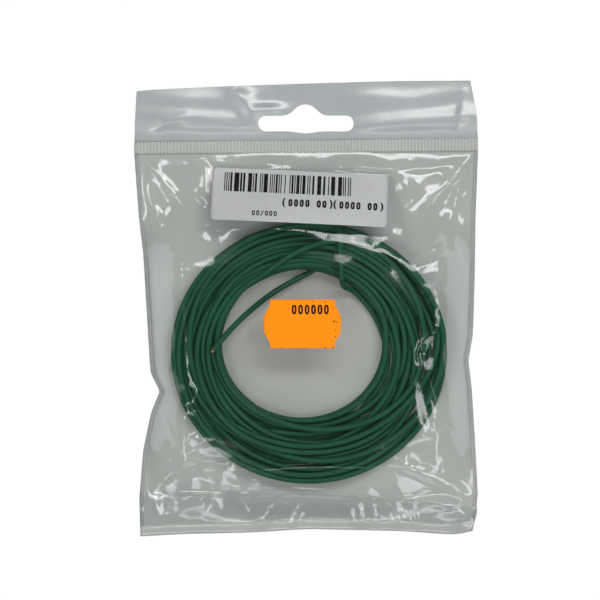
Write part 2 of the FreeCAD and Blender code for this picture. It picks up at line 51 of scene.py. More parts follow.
# Lengths are in millimetres down to the studio. First the bag's outline, seen from the front.
LEFT_EDGE = ((-76.7, -55.5), (-63.3, -55.8), (-47.4, -54.5), (-35.0, -51.9), (-29.5, -49.6),
             (-27.6, -48.7), (-25.5, -50.2), (-21.4, -52.1), (18.3, -54.5), (31.0, -56.0),
             (53.1, -57.6), (60.0, -57.3), (73.0, -56.7), (77.0, -56.6))
RIGHT_EDGE = ((-76.7, 55.6), (-74.2, 55.8), (-67.5, 57.5), (-65.8, 57.0), (-62.8, 57.6),
              (-42.3, 56.5), (-26.6, 55.5), (-19.5, 54.7), (-17.2, 54.3), (-14.5, 54.9),
              (-8.8, 55.9), (9.9, 56.5), (31.0, 56.8), (51.8, 57.6), (57.2, 57.6),
              (66.0, 57.0), (77.0, 54.9))
BOTTOM_EDGE = ((-57.0, -76.4), (-55.5, -76.3), (-41.4, -75.5), (-18.4, -75.0), (0.5, -73.8),
               (31.8, -74.5), (50.8, -75.8), (55.8, -74.4), (57.5, -74.0))
TOP_EDGE = ((-57.5, 72.7), (-56.7, 73.0), (-30.0, 74.3), (0.3, 75.4), (30.0, 76.2), (57.5, 76.4))
WELD_LOW = ((-60.0, 51.9), (60.0, 52.9))
WELD_HIGH = ((-60.0, 55.8), (60.0, 57.1))
FLAP_EDGE = ((-58.0, -60.8), (-2.0, -60.9), (14.0, -61.9), (17.0, -62.6), (35.0, -64.2), (58.0, -66.5))

# How the front film rises over the coil: as in the part, but gentler from the weld and the mouth,
# and in the empty corners above and below the coil.
COIL_X, COIL_Y = 1.0, -14.7
BAG_HALF = 56.5
SEAM_WIDTH = 1.2
MOUTH_MARGIN = 3.5
SIDE_RISE, BOTTOM_RISE, TOP_RISE, CORNER_RISE = 13.0, 18.0, 26.0, 44.0
CORNER_REACH, CORNER_FADE = 88.4, 42.0
EMPTY_FROM, EMPTY_SPREAD = 26.0, 24.0
CROWN_LOW, CROWN_HIGH = 10.3, 14.85
CROWN_LOW_Y, CROWN_HIGH_Y = -58.3, 10.1
FILM_FULLNESS = 0.5
SEAM_LEVEL = 0.3

# Where folds fade out at the edges and over the taut coil, then the flap, the weld and the lip.
CREASE_MARGIN = 6.0
TAUT_HALVES, TAUT_FOLDS, TAUT_END, TAUT_FADE = (46.0, 43.5), 0.25, 0.9, 0.25
FLAP_CLEARANCE, FLAP_FOLDS, FLAP_RIM = 0.75, 0.8, 2.0
TAPE_LOW, TAPE_HIGH, TAPE_INSET = 8.2, 3.4, 4.2
WELD_Y, WELD_THICKNESS, SEAM_THICKNESS = 54.0, 0.3, 0.28
LIP_X, LIP_Y, LIP_HEIGHT, LIP_REACH = -13.0, 66.5, 1.3, (6.0, 2.2)
HEADER_PINNED = 5.0

# The flat films' levels, how far the welds overlap them, and the weld's ribs.
BACK_LEVEL, HEADER_BACK_LEVEL, HEADER_FRONT_LEVEL, SIDE_SEAM_LEVEL = 0.03, 0.05, 0.3, 0.16
SEAM_OVERLAP, WELD_OVERLAP = 0.15, 0.1
RIB_LENGTH, RIB_FLATNESS, RIB_LEVEL = 4.0, 0.6, 0.35

# The euro slot: a round-ended bar with a round hump over its middle, and a fillet between them.
SLOT_Y, SLOT_REACH, SLOT_RADIUS = 62.0, 13.4, 2.65
HUMP_X, HUMP_Y, HUMP_RADIUS = -0.2, 64.3, 4.1
SLOT_FILLET = 4.0

# The papers on the film: how high they lie, how thick their ink is and how far they smooth the film.
PAPER_LEVEL = 0.28
INK_THICKNESS = 0.02
PAPER_MARGIN = 3.0
LABEL_CORNER = 1.3
LABEL_INK_LEVEL, STICKER_INK_LEVEL = 0.14, 0.12
BARS_WIDTH, BARS_AT = 42.4, (-25.1, 4.2)
STICKER_FLAT, STICKER_BULGE = 10.7, 2.05

# The ring of wound wire, as in the part.
RING_OUTER = (92.2, 87.2)
RING_INNER = (54.0, 49.6)
RING_INNER_SHIFT = (-2.3, 2.8)
TIE_ANGLE = 72.0
LAYERS = 4
TURNS_PER_LAYER = 5.5
LAYER_RISE = 2.35
FLOOR_LEVEL = 1.4
STEPS_PER_TURN = 48

# How loose turns lie: they fan out away from the tie, push each other apart, sink and even out.
BAND = 17.6
CROSSING_TURN = 19.71
LOWEST_TURN, LOWEST_FREE = 1.12, 1.15
FAN_LEAST, FAN_SPREAD = 0.35, 1.1
STRAY_CYCLES = (0.37, 0.61, 0.83, 1.19, 1.63, 2.21)
TIE_ROOM, TIE_REACH = 2.15, 5.5
PUSH_SHARE, SINK_STEP, EVEN_SHARE, LAST_EVEN_SHARE, LEAN_KEPT = 0.42, 0.05, 0.35, 0.15, 0.995
BAND_SLACK = 0.2
SETTLING_STEPS, SINKING_STEPS, SMOOTHING_STEPS = 420, 340, 400

# Creases of the films: height and half-width, then the places they run through.
POUCH_CREASES = (
    (2.2, 3.6, (53.3, 47.4), (40.0, 37.4), (27.5, 29.2)),
    (0.7, 1.2, (56.0, 50.5), (47.0, 42.0), (42.0, 34.0)),
    (0.8, 1.2, (56.0, 50.5), (50.5, 38.0), (47.5, 28.0)),
    (0.7, 1.1, (56.0, 50.5), (54.0, 36.0), (53.5, 24.0)),
    (0.5, 1.0, (55.5, 50.8), (42.0, 47.0), (28.0, 46.5)),
    (1.4, 2.8, (12.0, 46.5), (22.0, 44.0), (34.0, 43.0)),
    (1.8, 3.7, (-3.0, 21.6), (14.0, 20.0), (28.5, 16.5)),
    (1.4, 3.0, (26.0, 22.5), (31.5, 14.0), (38.7, 4.8)),
    (0.5, 0.9, (36.0, 17.0), (45.0, 22.0), (53.3, 26.8)),
    (0.4, 0.7, (38.0, 14.0), (48.5, 18.4)),
    (0.6, 1.0, (49.0, 22.0), (53.0, 12.0), (54.9, 2.0)),
    (0.8, 0.9, (42.5, -7.5), (38.6, -11.0), (37.2, -14.4), (37.9, -18.6)),
    (1.1, 2.2, (37.9, -18.6), (40.0, -30.0), (42.6, -44.5)),
    (0.4, 0.6, (40.5, -21.6), (45.9, -38.7)),
    (0.8, 1.1, (-57.0, 44.5), (-52.0, 35.0), (-48.2, 28.0)),
    (0.9, 1.3, (-51.5, 46.5), (-41.0, 34.0), (-31.5, 24.5)),
    (1.4, 2.4, (-56.0, 38.0), (-53.5, 44.0), (-50.0, 48.0)),
    (0.4, 0.7, (-55.5, 29.6), (-47.0, 29.0)),
    (0.6, 0.9, (-36.0, 39.0), (-32.0, 33.0)),
    (0.7, 0.9, (-49.5, -27.8), (-44.0, -30.0), (-38.0, -33.5)),
    (0.5, 0.7, (-49.5, -27.4), (-44.0, -25.2), (-39.0, -24.6)),
    (0.5, 0.7, (-49.5, -27.2), (-46.0, -21.0), (-44.6, -14.0)),
    (0.5, 0.7, (-49.5, -28.4), (-47.4, -36.0), (-44.0, -43.0)),
    (0.4, 0.6, (-50.0, -29.0), (-50.6, -38.0), (-50.0, -46.0)),
    (1.2, 2.4, (-42.0, -36.0), (-40.2, -44.0), (-37.0, -52.0)),
    (0.8, 1.2, (-44.0, -49.6), (-36.0, -50.6), (-28.0, -51.6)),
    (0.9, 1.2, (-38.5, -49.5), (-44.0, -54.0), (-51.5, -60.2)),
    (1.2, 1.6, (33.2, -51.4), (41.0, -55.6), (49.5, -59.5), (55.5, -64.8)),
    (0.6, 0.9, (29.0, -52.2), (35.0, -53.6), (41.0, -56.2)),
    (0.5, 0.8, (54.2, -25.0), (54.9, -44.0), (54.4, -64.0)),
    (0.5, 1.2, (-55.0, -52.0), (-45.0, -58.0), (-30.0, -60.0)),
    (0.5, 0.9, (-53.0, 10.0), (-51.4, -4.0), (-52.0, -18.0)),
    (0.5, 0.9, (52.0, -2.0), (53.4, -12.0), (51.6, -22.0)),
    (0.45, 0.7, (-55.0, -60.3), (-2.0, -60.4), (14.0, -61.4), (35.0, -63.7), (56.0, -65.8)),
)
HEADER_CREASES = (
    (1.7, 3.2, (-62.0, 64.6), (-40.0, 63.8), (-16.0, 61.4)),
    (0.9, 2.0, (-24.0, 73.0), (-19.5, 68.0), (-16.5, 61.0)),
    (1.6, 3.0, (16.0, 60.0), (34.0, 62.6), (62.0, 64.4)),
    (0.6, 1.4, (-12.0, 57.6), (-3.0, 58.6), (4.0, 57.6)),
    (0.8, 2.2, (-54.0, 71.0), (-30.0, 70.0), (-14.0, 71.6)),
    (0.7, 2.2, (14.0, 70.6), (36.0, 70.0), (52.0, 72.4)),
    (0.6, 1.2, (49.0, 57.8), (52.0, 64.0), (53.5, 72.0)),
    (0.5, 1.2, (-52.0, 57.6), (-48.0, 62.0), (-40.0, 64.0)),
)
FLAP_CREASES = (
    (0.5, 1.1, (-54.1, -62.0), (-54.5, -68.0)),
    (0.9, 1.7, (-47.8, -61.5), (-46.8, -69.0)),
    (0.5, 1.1, (-28.2, -61.0), (-27.0, -67.0)),
    (0.7, 1.2, (-18.8, -61.4), (-17.6, -68.5)),
    (0.8, 1.3, (-17.6, -75.0), (-12.0, -69.0), (-6.7, -61.4)),
    (0.8, 1.2, (-5.5, -74.4), (-2.2, -68.0), (0.8, -61.4)),
    (1.0, 1.5, (16.4, -62.8), (17.4, -69.0), (20.0, -75.0)),
    (0.6, 1.0, (21.4, -63.4), (22.4, -69.0), (24.2, -74.8)),
    (1.0, 1.5, (28.8, -63.4), (30.2, -69.0), (32.7, -75.0)),
    (0.6, 1.0, (35.0, -64.6), (35.8, -69.5), (37.2, -75.0)),
    (1.1, 1.9, (45.2, -65.8), (50.0, -70.0), (55.2, -75.4)),
    (0.6, 0.8, (-60.0, -61.4), (-2.0, -61.5), (14.0, -62.5), (35.0, -64.8), (60.0, -67.3)),
)

# Fine folds of the films: height, distance between folds and seed.
POUCH_CRINKLES = ((1.6, 19.0, 2.0), (0.7, 9.0, 7.0))
HEADER_CRINKLES = ((0.4, 26.0, 4.0),)
FLAP_CRINKLES = ((0.2, 14.0, 5.0),)

# The free end of the wire, from its cut end to the coil, as in the part.
OVER = 6.263
OVER_COIL, COIL_REACH, TOUCH_REACH = 3.0, 8.0, 1.5
FREE_ROUTE = (
    (-31.3, -14.3, 5.05), (-26.4, -8.2, 4.75), (-19.4, -1.2, 3.3), (-11.4, 5.2, 1.7),
    (-3.4, 9.8, 0.3), (4.0, 13.3, 0.0), (8.2, 22.0, 0.0), (9.6, 31.0, 0.02),
    (10.5, 33.8, 0.52 * OVER), (11.0, 31.0, OVER), (11.3, 20.8, 1.01 * OVER),
    (11.8, 10.0, 1.02 * OVER), (12.6, 7.0, 0.52 * OVER), (15.2, 6.6, 0.06 * OVER),
    (19.0, 3.2, 0.0), (24.2, -3.8, 0.01), (27.4, -13.9, 0.0),
)

# The strands in the cut end: their number and sides, and how thick they are at places along them.
STRANDS, STRAND_SIDES = 7, 10
STRAND_RINGS = ((-1.6, 1.0), (0.18, 1.0), (0.26, 0.6))

# Optics of the clear film: its refraction, and how much more two sides shine than one.
FILM_IOR = 1.49
BOTH_SIDES = 1.9

# The studio: lamps with their place, width and length in metres and power in watts, and the view.
LAMPS = {
    "key_softbox": ((0.15, 0.48, 0.80), 0.46, 0.22, 2.2),
    "fill_softbox": ((-0.42, -0.36, 0.80), 0.30, 0.16, 1.0),
    "side_softbox": ((0.55, -0.10, 0.80), 0.10, 0.50, 0.9),
    "spot_north_west": ((-0.50, 0.46, 0.64), 0.22, 0.20, 0.9),
    "spot_west": ((-0.50, 0.05, 0.82), 0.12, 0.14, 0.45),
    "spot_south": ((0.0, -0.50, 0.80), 0.34, 0.10, 0.4),
    "spot_south_east": ((0.36, -0.36, 0.82), 0.12, 0.12, 0.40),
    "low_left": ((-0.48, -0.62, 0.60), 0.26, 0.34, 1.0),
    "low_right": ((0.50, -0.60, 0.60), 0.26, 0.34, 1.0),
    "front_left": ((-0.40, -0.78, 0.42), 0.25, 0.22, 0.62),
    "front_right": ((0.42, -0.78, 0.42), 0.25, 0.22, 0.62),
    "spot_north_east": ((0.49, 0.44, 0.68), 0.36, 0.28, 1.9),
}
VIEW_CENTRE, VIEW_HEIGHT, VIEW_WIDTH = (-0.002, 0.0029), 1.0, 0.201
SENSOR_WIDTH = 36.0
FLOOR_REACH, STUDIO_FLOOR_LEVEL = 12.0, -0.0002
FLOOR_GREY, FLOOR_GLOW, FLOOR_SHADE = (0.86, 0.86, 0.86, 1.0), 1.1, 0.25
RING_HEIGHT, RING_SPREAD, RING_LIGHT, ROOM_LIGHT = 0.83, 0.12, 0.3, 0.05
WHITE = (1, 1, 1, 1)


def colour(hexa):
    """The linear colour of an sRGB hex value."""
    parts = [int(hexa[at:at + 2], 16) / 255 for at in (1, 3, 5)]
    linear = [part / 12.92 if part <= 0.04045 else ((part + 0.055) / 1.055) ** 2.4 for part in parts]
    return (*linear, 1.0)


def size_prop(name, text, default):
    return bpy.props.FloatProperty(name=name, description=text, default=default * MM, unit="LENGTH",
                                   precision=5)


def colour_prop(name, text, hexa):
    return bpy.props.FloatVectorProperty(name=name, description=text, size=4, min=0.0, max=1.0,
                                         subtype="COLOR", default=colour(hexa))


class WireSettings(bpy.types.PropertyGroup):
    diameter: size_prop("Wire diameter", "Outside diameter of the insulation", 1.9)
    strand: size_prop("Strand diameter", "Diameter of one strand of the conductor", 0.3)
    looseness: size_prop("Looseness", "How far loose turns stray from a neat winding", 3.0)
    insulation: colour_prop("Insulation", "Colour of the insulation", "#0F563B")
    copper: colour_prop("Copper", "Colour of the bare strands", "#C98B62")


class BagSettings(bpy.types.PropertyGroup):
    film: size_prop("Film thickness", "Thickness of the film", 0.1)
    rib_pitch: size_prop("Rib pitch", "Distance between the ribs of the weld", 1.12)
    rib_width: size_prop("Rib width", "Width of one rib of the weld", 0.5)
    clear: colour_prop("Clear film", "Tint of the clear film", "#FBFCFC")
    smoky: colour_prop("Back film", "Grey of the back film", "#BFC2BD")
    cool: colour_prop("Header film", "Grey of the header's back ply", "#BDC2C3")
    milky: colour_prop("Welded film", "Colour of welded and taped film", "#DDE2E4")


class LabelSettings(bpy.types.PropertyGroup):
    width: size_prop("Label width", "Width of the barcode label", 58.7)
    length: size_prop("Label length", "Length of the barcode label", 17.6)
    module: size_prop("Bar module", "Width of the narrowest bar", 0.33)
    bar_length: size_prop("Bar length", "Length of the bars", 6.4)
    seed: bpy.props.IntProperty(name="Bar seed", description="Chooses the pattern of bars", default=72)
    paper: colour_prop("Label paper", "Colour of the label's paper", "#C4C7C6")
    ink: colour_prop("Ink", "Colour of the print", "#070808")
    orange: colour_prop("Sticker paper", "Fluorescent orange of the price sticker", "#FF8E06")


def edge_curve(points, spread=1.0):
    """A function through the points of an edge, rounded over a spread in millimetres."""
    at = np.linspace(points[0][0], points[-1][0], 500)
    value = np.interp(at, [p[0] for p in points], [p[1] for p in points])
    step = at[1] - at[0]
    reach = int(3 * spread / step) + 1
    weights = np.exp(-0.5 * (np.arange(-reach, reach + 1) * step / spread) ** 2)
    padded = np.pad(value, reach, mode="reflect", reflect_type="odd")
    smooth = np.convolve(padded, weights / weights.sum(), mode="valid")
    return lambda v: np.interp(v, at, smooth)


left_x = edge_curve(LEFT_EDGE)
right_x = edge_curve(RIGHT_EDGE)
bottom_y = edge_curve(BOTTOM_EDGE, 2.5)
top_y = edge_curve(TOP_EDGE, 4.0)
weld_low_y = edge_curve(WELD_LOW)
weld_high_y = edge_curve(WELD_HIGH)
flap_y = edge_curve(FLAP_EDGE, 1.6)


def rounded(share):
    """How far film has risen from a seam, 0 at the seam and 1 at the end of its slope."""
    share = np.clip(share, 0.0, 1.0)
    return (1 + FILM_FULLNESS) * share - FILM_FULLNESS * share ** 3


def eased(share):
    """A smooth step from 0 to 1."""
    share = np.clip(share, 0.0, 1.0)
    return share * share * (3 - 2 * share)


def sloped(share):
    """How far film has risen from an edge where it starts and ends gently, from 0 to 1."""
    return (np.clip(share, 0.0, 1.0) + eased(share)) / 2


def film_base(x, y):
    """The underside of the unwrinkled front film."""
    crown = CROWN_LOW + (CROWN_HIGH - CROWN_LOW) * eased((y - CROWN_LOW_Y) / (CROWN_HIGH_Y - CROWN_LOW_Y))
    beside = np.minimum(x - left_x(y), right_x(y) - x) - SEAM_WIDTH
    along = sloped((y - bottom_y(x) - MOUTH_MARGIN) / BOTTOM_RISE) * sloped((weld_low_y(x) - y) / TOP_RISE)
    fade = rounded((CORNER_REACH - np.hypot(x, y - COIL_Y)) / CORNER_FADE)
    empty = eased((np.abs(y - COIL_Y) - EMPTY_FROM) / EMPTY_SPREAD)
    side = (1 - empty) * rounded(beside / SIDE_RISE) + empty * sloped(beside / CORNER_RISE)
    return SEAM_LEVEL + (crown - SEAM_LEVEL) * side * along * fade


def crease_height(x, y, creases):
    """The folds of a film: each rises to a line and thins out towards its ends."""
    total = np.zeros_like(x)
    for height, width, *line in creases:
        nearest = np.full_like(x, 1e9)
        place = np.zeros_like(x)
        lengths = [math.dist(a, b) for a, b in zip(line, line[1:])]
        walked = 0.0
        for (ax, ay), (bx, by), length in zip(line, line[1:], lengths):
            share = np.clip(((x - ax) * (bx - ax) + (y - ay) * (by - ay)) / length ** 2, 0, 1)
            away = np.hypot(x - ax - share * (bx - ax), y - ay - share * (by - ay))
            closer = away < nearest
            nearest = np.where(closer, away, nearest)
            place = np.where(closer, (walked + share * length) / sum(lengths), place)
            walked += length
        taper = np.sqrt(np.clip(np.sin(math.pi * (0.06 + 0.88 * place)), 0, 1))
        total += height * taper * np.exp(-0.5 * (nearest / width) ** 2)
    return total


def crinkle(x, y, folds):
    """Folded noise: flat facets between crisp valleys, added up from folds of several sizes."""
    total = np.zeros(x.size)
    for height, wave, seed in folds:
        for number, (px, py) in enumerate(zip(x.ravel(), y.ravel())):
            total[number] += height * abs(noise.noise(Vector((px / wave, py / wave, seed))))
    return total.reshape(x.shape)


class PaperFace:
    """A patch of paper stuck on the film: its own places, and how far others are outside it."""

    def __init__(self, x, y, turn, width, length):
        self.x, self.y, self.width, self.length = x, y, width, length
        self.cos, self.sin = math.cos(math.radians(turn)), math.sin(math.radians(turn))

    def place(self, u, v, above=0.0):
        x = self.x + u * self.cos - v * self.sin
        y = self.y + u * self.sin + v * self.cos
        return x, y, film_base(x, y) + PAPER_LEVEL + above

    def outside(self, x, y):
        u = (x - self.x) * self.cos + (y - self.y) * self.sin
        v = -(x - self.x) * self.sin + (y - self.y) * self.cos
        return np.maximum(np.abs(u) - self.width / 2, np.abs(v) - self.length / 2)


BARCODE_FACE = PaperFace(-2.2, 37.1, -2.7, 58.7, 17.6)
STICKER_FACE = PaperFace(-1.2, -5.0, 0.0, 25.6, 16.1)


def label_cover(x, y):
    """1 away from the label and the sticker, 0 under them, where paper keeps the film smooth."""
    return eased(BARCODE_FACE.outside(x, y) / PAPER_MARGIN) * eased(STICKER_FACE.outside(x, y) / PAPER_MARGIN)


def film_height(x, y):
    """The underside of the front film, with its folds."""
    from_seam = np.minimum(np.minimum(x - left_x(y), right_x(y) - x) - SEAM_WIDTH,
                           np.minimum(weld_low_y(x) - y, y - bottom_y(x) - MOUTH_MARGIN))
    coil = np.hypot((x - COIL_X) / TAUT_HALVES[0], (y - COIL_Y) / TAUT_HALVES[1])
    slack = TAUT_FOLDS + (1 - TAUT_FOLDS) * eased((coil - TAUT_END) / TAUT_FADE)
    folds = crease_height(x, y, POUCH_CREASES) + slack * crinkle(x, y, POUCH_CRINKLES)
    return film_base(x, y) + eased(from_seam / CREASE_MARGIN) * label_cover(x, y) * folds


def header_height(x, y):
    """How far the header's plies wave up from where the bag lies, with a lip beside the slot."""
    pinned = eased((y - weld_high_y(x)) / HEADER_PINNED)
    lip = LIP_HEIGHT * np.exp(-((x - LIP_X) / LIP_REACH[0]) ** 2 - ((y - LIP_Y) / LIP_REACH[1]) ** 2)
    return pinned * (crease_height(x, y, HEADER_CREASES) + lip + crinkle(x, y, HEADER_CRINKLES))


def flap_height(x, y):
    """The closing flap's underside: over the front film, down to the back film at the fold."""
    over = film_base(x, y) + FLAP_CLEARANCE
    share = eased((y - bottom_y(x)) / MOUTH_MARGIN)
    folds = crease_height(x, y, FLAP_CREASES) + crinkle(x, y, FLAP_CRINKLES)
    inside = eased(np.minimum(x - left_x(y), right_x(y) - x) / FLAP_RIM)
    return SEAM_LEVEL + (over - SEAM_LEVEL + FLAP_FOLDS * inside * folds) * share


def node(tree, kind, inputs=None, **settings):
    """Add a node, set its properties, and set each input or link it to another node's socket."""
    made = tree.nodes.new(kind)
    for name, value in settings.items():
        setattr(made, name, value)
    for key, value in (inputs or {}).items():
        if isinstance(value, bpy.types.NodeSocket):
            tree.links.new(value, made.inputs[key])
        else:
            made.inputs[key].default_value = value
    return made


def new_material(name):
    """An empty material with its node tree and its object coordinates."""
    made = bpy.data.materials.new(name)
    made.use_nodes = True
    made.node_tree.nodes.clear()
    place = node(made.node_tree, "ShaderNodeTexCoord").outputs["Object"]
    return made, made.node_tree, place


def finish_material(made, shader):
    """Lead a shader to the material's output and hand the material over."""
    node(made.node_tree, "ShaderNodeOutputMaterial", {"Surface": shader})
    return made


def noise_factor(tree, place, wave, detail=2.0, low=0.3, high=0.7):
    """Noise whose patches are about a wave across, stretched to run from 0 to 1."""
    cloud = node(tree, "ShaderNodeTexNoise", {"Vector": place, "Scale": 1 / wave, "Detail": detail})
    return node(tree, "ShaderNodeMapRange", {"Value": cloud.outputs["Fac"], "From Min": low,
                                             "From Max": high}).outputs["Result"]


def maths(tree, operation, first, second=0.0, **settings):
    return node(tree, "ShaderNodeMath", {0: first, 1: second}, operation=operation, **settings).outputs[0]


def between(tree, factor, low, high):
    """A value that goes from low to high as the factor goes from 0 to 1."""
    return node(tree, "ShaderNodeMapRange", {"Value": factor, "To Min": low, "To Max": high}).outputs[0]


def mixed_tone(tree, factor, first, second):
    return node(tree, "ShaderNodeMix", {"Factor": factor, 6: first, 7: second}, data_type="RGBA").outputs[2]


def mixed_shader(tree, factor, first, second):
    return node(tree, "ShaderNodeMixShader", {0: factor, 1: first, 2: second}).outputs[0]


def bumped(tree, height, strength, distance):
    """Normals of a surface with a fine relief, its distance in metres."""
    relief = {"Height": height, "Strength": strength, "Distance": distance}
    return node(tree, "ShaderNodeBump", relief).outputs[0]


def surface(tree, tone, roughness, inputs=None):
    """A principled surface of this tone and roughness."""
    return node(tree, "ShaderNodeBsdfPrincipled",
                {"Base Color": tone, "Roughness": roughness, **(inputs or {})}).outputs[0]


def scaled(tone, factor):
    return [channel * factor for channel in tone[:3]] + [1.0]


def film_finish(name, settings, haze, roughness, ripple):
    """Cast polypropylene film: clear, hard gloss, with a faint haze and fine ripples.

    One face stands for both sides of the film, which together send back about a fourteenth of the
    light head on, from whichever side it comes.
    """
    made, tree, place = new_material(name)
    bump = bumped(tree, noise_factor(tree, place, 0.009), 1.0, ripple)
    gloss = node(tree, "ShaderNodeBsdfGlossy", {"Roughness": roughness, "Normal": bump}).outputs[0]
    see = node(tree, "ShaderNodeBsdfTransparent", {"Color": tuple(settings.clear)}).outputs[0]
    body = mixed_shader(tree, haze, see, surface(tree, tuple(settings.milky), 0.5))
    inner = node(tree, "ShaderNodeNewGeometry").outputs["Backfacing"]
    bend = between(tree, inner, FILM_IOR, 1 / FILM_IOR)
    single = node(tree, "ShaderNodeFresnel", {"IOR": bend, "Normal": bump}).outputs[0]
    shine = maths(tree, "MULTIPLY", single, BOTH_SIDES, use_clamp=True)
    return finish_material(made, mixed_shader(tree, shine, body, gloss))


def back_film_finish(name, grey):
    """A back film, which hides most of what it lies on: grey, softly mottled."""
    made, tree, place = new_material(name)
    tone = mixed_tone(tree, noise_factor(tree, place, 0.022, 3.0), grey, scaled(grey, 1.10))
    bump = bumped(tree, noise_factor(tree, place, 0.006, 3.0), 0.6, 0.0002)
    face = surface(tree, tone, 0.32, {"IOR": FILM_IOR, "Normal": bump})
    see = node(tree, "ShaderNodeBsdfTransparent", {"Color": (0.9, 0.9, 0.9, 1.0)}).outputs[0]
    return finish_material(made, mixed_shader(tree, 0.8, see, face))


def tape_finish(haze_colour):
    """Acrylic tape between two films: it wets both, so it only adds a faint haze."""
    made, tree, place = new_material("acrylic_tape")
    haze = between(tree, noise_factor(tree, place, 0.003), 0.02, 0.05)
    see = node(tree, "ShaderNodeBsdfTransparent").outputs[0]
    dust = node(tree, "ShaderNodeBsdfDiffuse", {"Color": haze_colour}).outputs[0]
    return finish_material(made, mixed_shader(tree, haze, see, dust))


def insulation_finish(green):
    """Extruded PVC insulation: satin green, slightly uneven, with a fine drawn texture."""
    made, tree, place = new_material("pvc_insulation_green")
    patch = noise_factor(tree, place, 0.011, 3.0)
    bump = bumped(tree, noise_factor(tree, place, 0.00035), 0.35, 0.00003)
    tone = mixed_tone(tree, patch, scaled(green, 0.78), green)
    return finish_material(made, surface(tree, tone, between(tree, patch, 0.36, 0.48),
                                         {"IOR": 1.53, "Specular IOR Level": 0.2, "Normal": bump}))


def copper_finish(copper):
    """Drawn copper strands: bright metal, finely scored along their length."""
    made, tree, place = new_material("drawn_copper")
    dull = between(tree, noise_factor(tree, place, 0.00012), 0.24, 0.42)
    return finish_material(made, surface(tree, copper, dull, {"Metallic": 1.0}))


def paper_finish(name, tone, roughness, uneven, glow=0.0):
    """Coated label paper: a satin face over fine grain, with an optional painted glow: an emission in the
    paper's own colour that shines the same whatever the light, standing in for the brightening of a
    fluorescent dye.
    """
    made, tree, place = new_material(name)
    shade = mixed_tone(tree, noise_factor(tree, place, 0.0016, 4.0, 0.2, 0.8), scaled(tone, uneven), tone)
    bump = bumped(tree, noise_factor(tree, place, 0.0004, 3.0), 0.3, 0.00003)
    # Emission in the paper's own colour is painted glow, shining the same in any light.
    return finish_material(made, surface(tree, shade, roughness,
                                         {"Specular IOR Level": 0.15, "Emission Color": tone,
                                          "Emission Strength": glow, "Normal": bump}))


def ink_finish(ink):
    """Thermal print: matt black that thins to grey where the head pressed less."""
    made, tree, place = new_material("thermal_print")
    grey = [channel + 0.04 for channel in ink[:3]] + [1.0]
    shade = mixed_tone(tree, noise_factor(tree, place, 0.0007, 2.0, 0.42, 0.78), ink, grey)
    return finish_material(made, surface(tree, shade, 0.7, {"Specular IOR Level": 0.1}))


def grid_faces(rows, columns):
    """The quads of a grid of points stored row by row, facing up."""
    corner = np.arange(rows * columns).reshape(rows, columns)
    quads = np.stack([corner[:-1, :-1], corner[:-1, 1:], corner[1:, 1:], corner[1:, :-1]], axis=-1)
    return quads.reshape(-1, 4)


def add_mesh(name, points, faces, material, body, slot, *nodes, thickness=0.0):
    """Make a piece from points in millimetres, with its finish, the body it rides on and its nodes."""
    mesh = bpy.data.meshes.new(name)
    mesh.from_pydata((np.asarray(points) * MM).tolist(), [], [list(face) for face in faces])
    mesh.update()
    return add_piece(name, mesh, material, body, slot, *nodes, thickness=thickness)


def add_piece(name, mesh, material, body, slot, *nodes, thickness=0.0):
    """Show a mesh as a piece that rides on a body and stands for its nodes, thickened outwards."""
    mesh.shade_smooth()
    if material.name not in mesh.materials:
        mesh.materials.clear()
        mesh.materials.append(material)
    piece = bpy.data.objects.new(name, mesh)
    bpy.context.scene.collection.objects.link(piece)
    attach(piece, body)
    if nodes:
        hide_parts(*nodes)
    if thickness:
        shell = piece.modifiers.new("Thickness", "SOLIDIFY")
        shell.thickness = thickness
        shell.offset = 1.0
    return piece


def sheet_piece(name, x, y, z, material, cad_node, thickness=0.0, body="bag", slot="clear_film"):
    """A sheet over a grid of places. Clear film is a single face, other sheets have a thickness."""
    points = np.stack([x.ravel(), y.ravel(), z.ravel()], axis=-1)
    add_mesh(name, points, grid_faces(*x.shape), material, body, slot, cad_node, thickness=thickness)


def spread_grid(columns, rows, low, high, inset=0.0):
    """Places over the bag between two lines across it, from its left edge to its right."""
    across, along = np.meshgrid(np.linspace(0, 1, columns + 1), np.linspace(0, 1, rows + 1))
    rough = BAG_HALF * (2 * across - 1)
    y = low(rough) + (high(rough) - low(rough)) * along
    x = left_x(y) + inset + (right_x(y) - left_x(y) - 2 * inset) * across
    y = low(x) + (high(x) - low(x)) * along
    return x, y


def ring_point(degrees, outward):
    """A place in the ring: outward is 0 on its inner turn and 1 on its outer turn."""
    wire_half = 0.95
    radians = np.radians(degrees)
    reach = [inner / 2 + wire_half + (outer / 2 - inner / 2 - 2 * wire_half) * outward
             for inner, outer in zip(RING_INNER, RING_OUTER)]
    return (COIL_X + RING_INNER_SHIFT[0] * (1 - outward) + reach[0] * np.cos(radians),
            COIL_Y + RING_INNER_SHIFT[1] * (1 - outward) + reach[1] * np.sin(radians))


def winding_plan():
    """The neat winding, a step at a time: its angle, outward share and layer."""
    quarters = []
    outward = 0.0
    for layer in range(LAYERS):
        count = round(4 * TURNS_PER_LAYER) - (0 if layer else 2) - (1 if layer == LAYERS - 1 else 0)
        to_go = 1.0 - 2 * outward
        rate = to_go / (round(4 * TURNS_PER_LAYER) if layer else count)
        quarters += [(outward + rate * step, layer) for step in range(count + 1)]
        outward += to_go
        if layer < LAYERS - 1:
            quarters.append((outward, layer + 0.5))
    at = np.linspace(0, len(quarters) - 1, (len(quarters) - 1) * STEPS_PER_TURN // 4 + 1)
    number = np.arange(len(quarters))
    share = np.interp(at, number, [q[0] for q in quarters])
    layer = np.interp(at, number, [q[1] for q in quarters])
    return TIE_ANGLE - 90 - 90 * at, share, layer


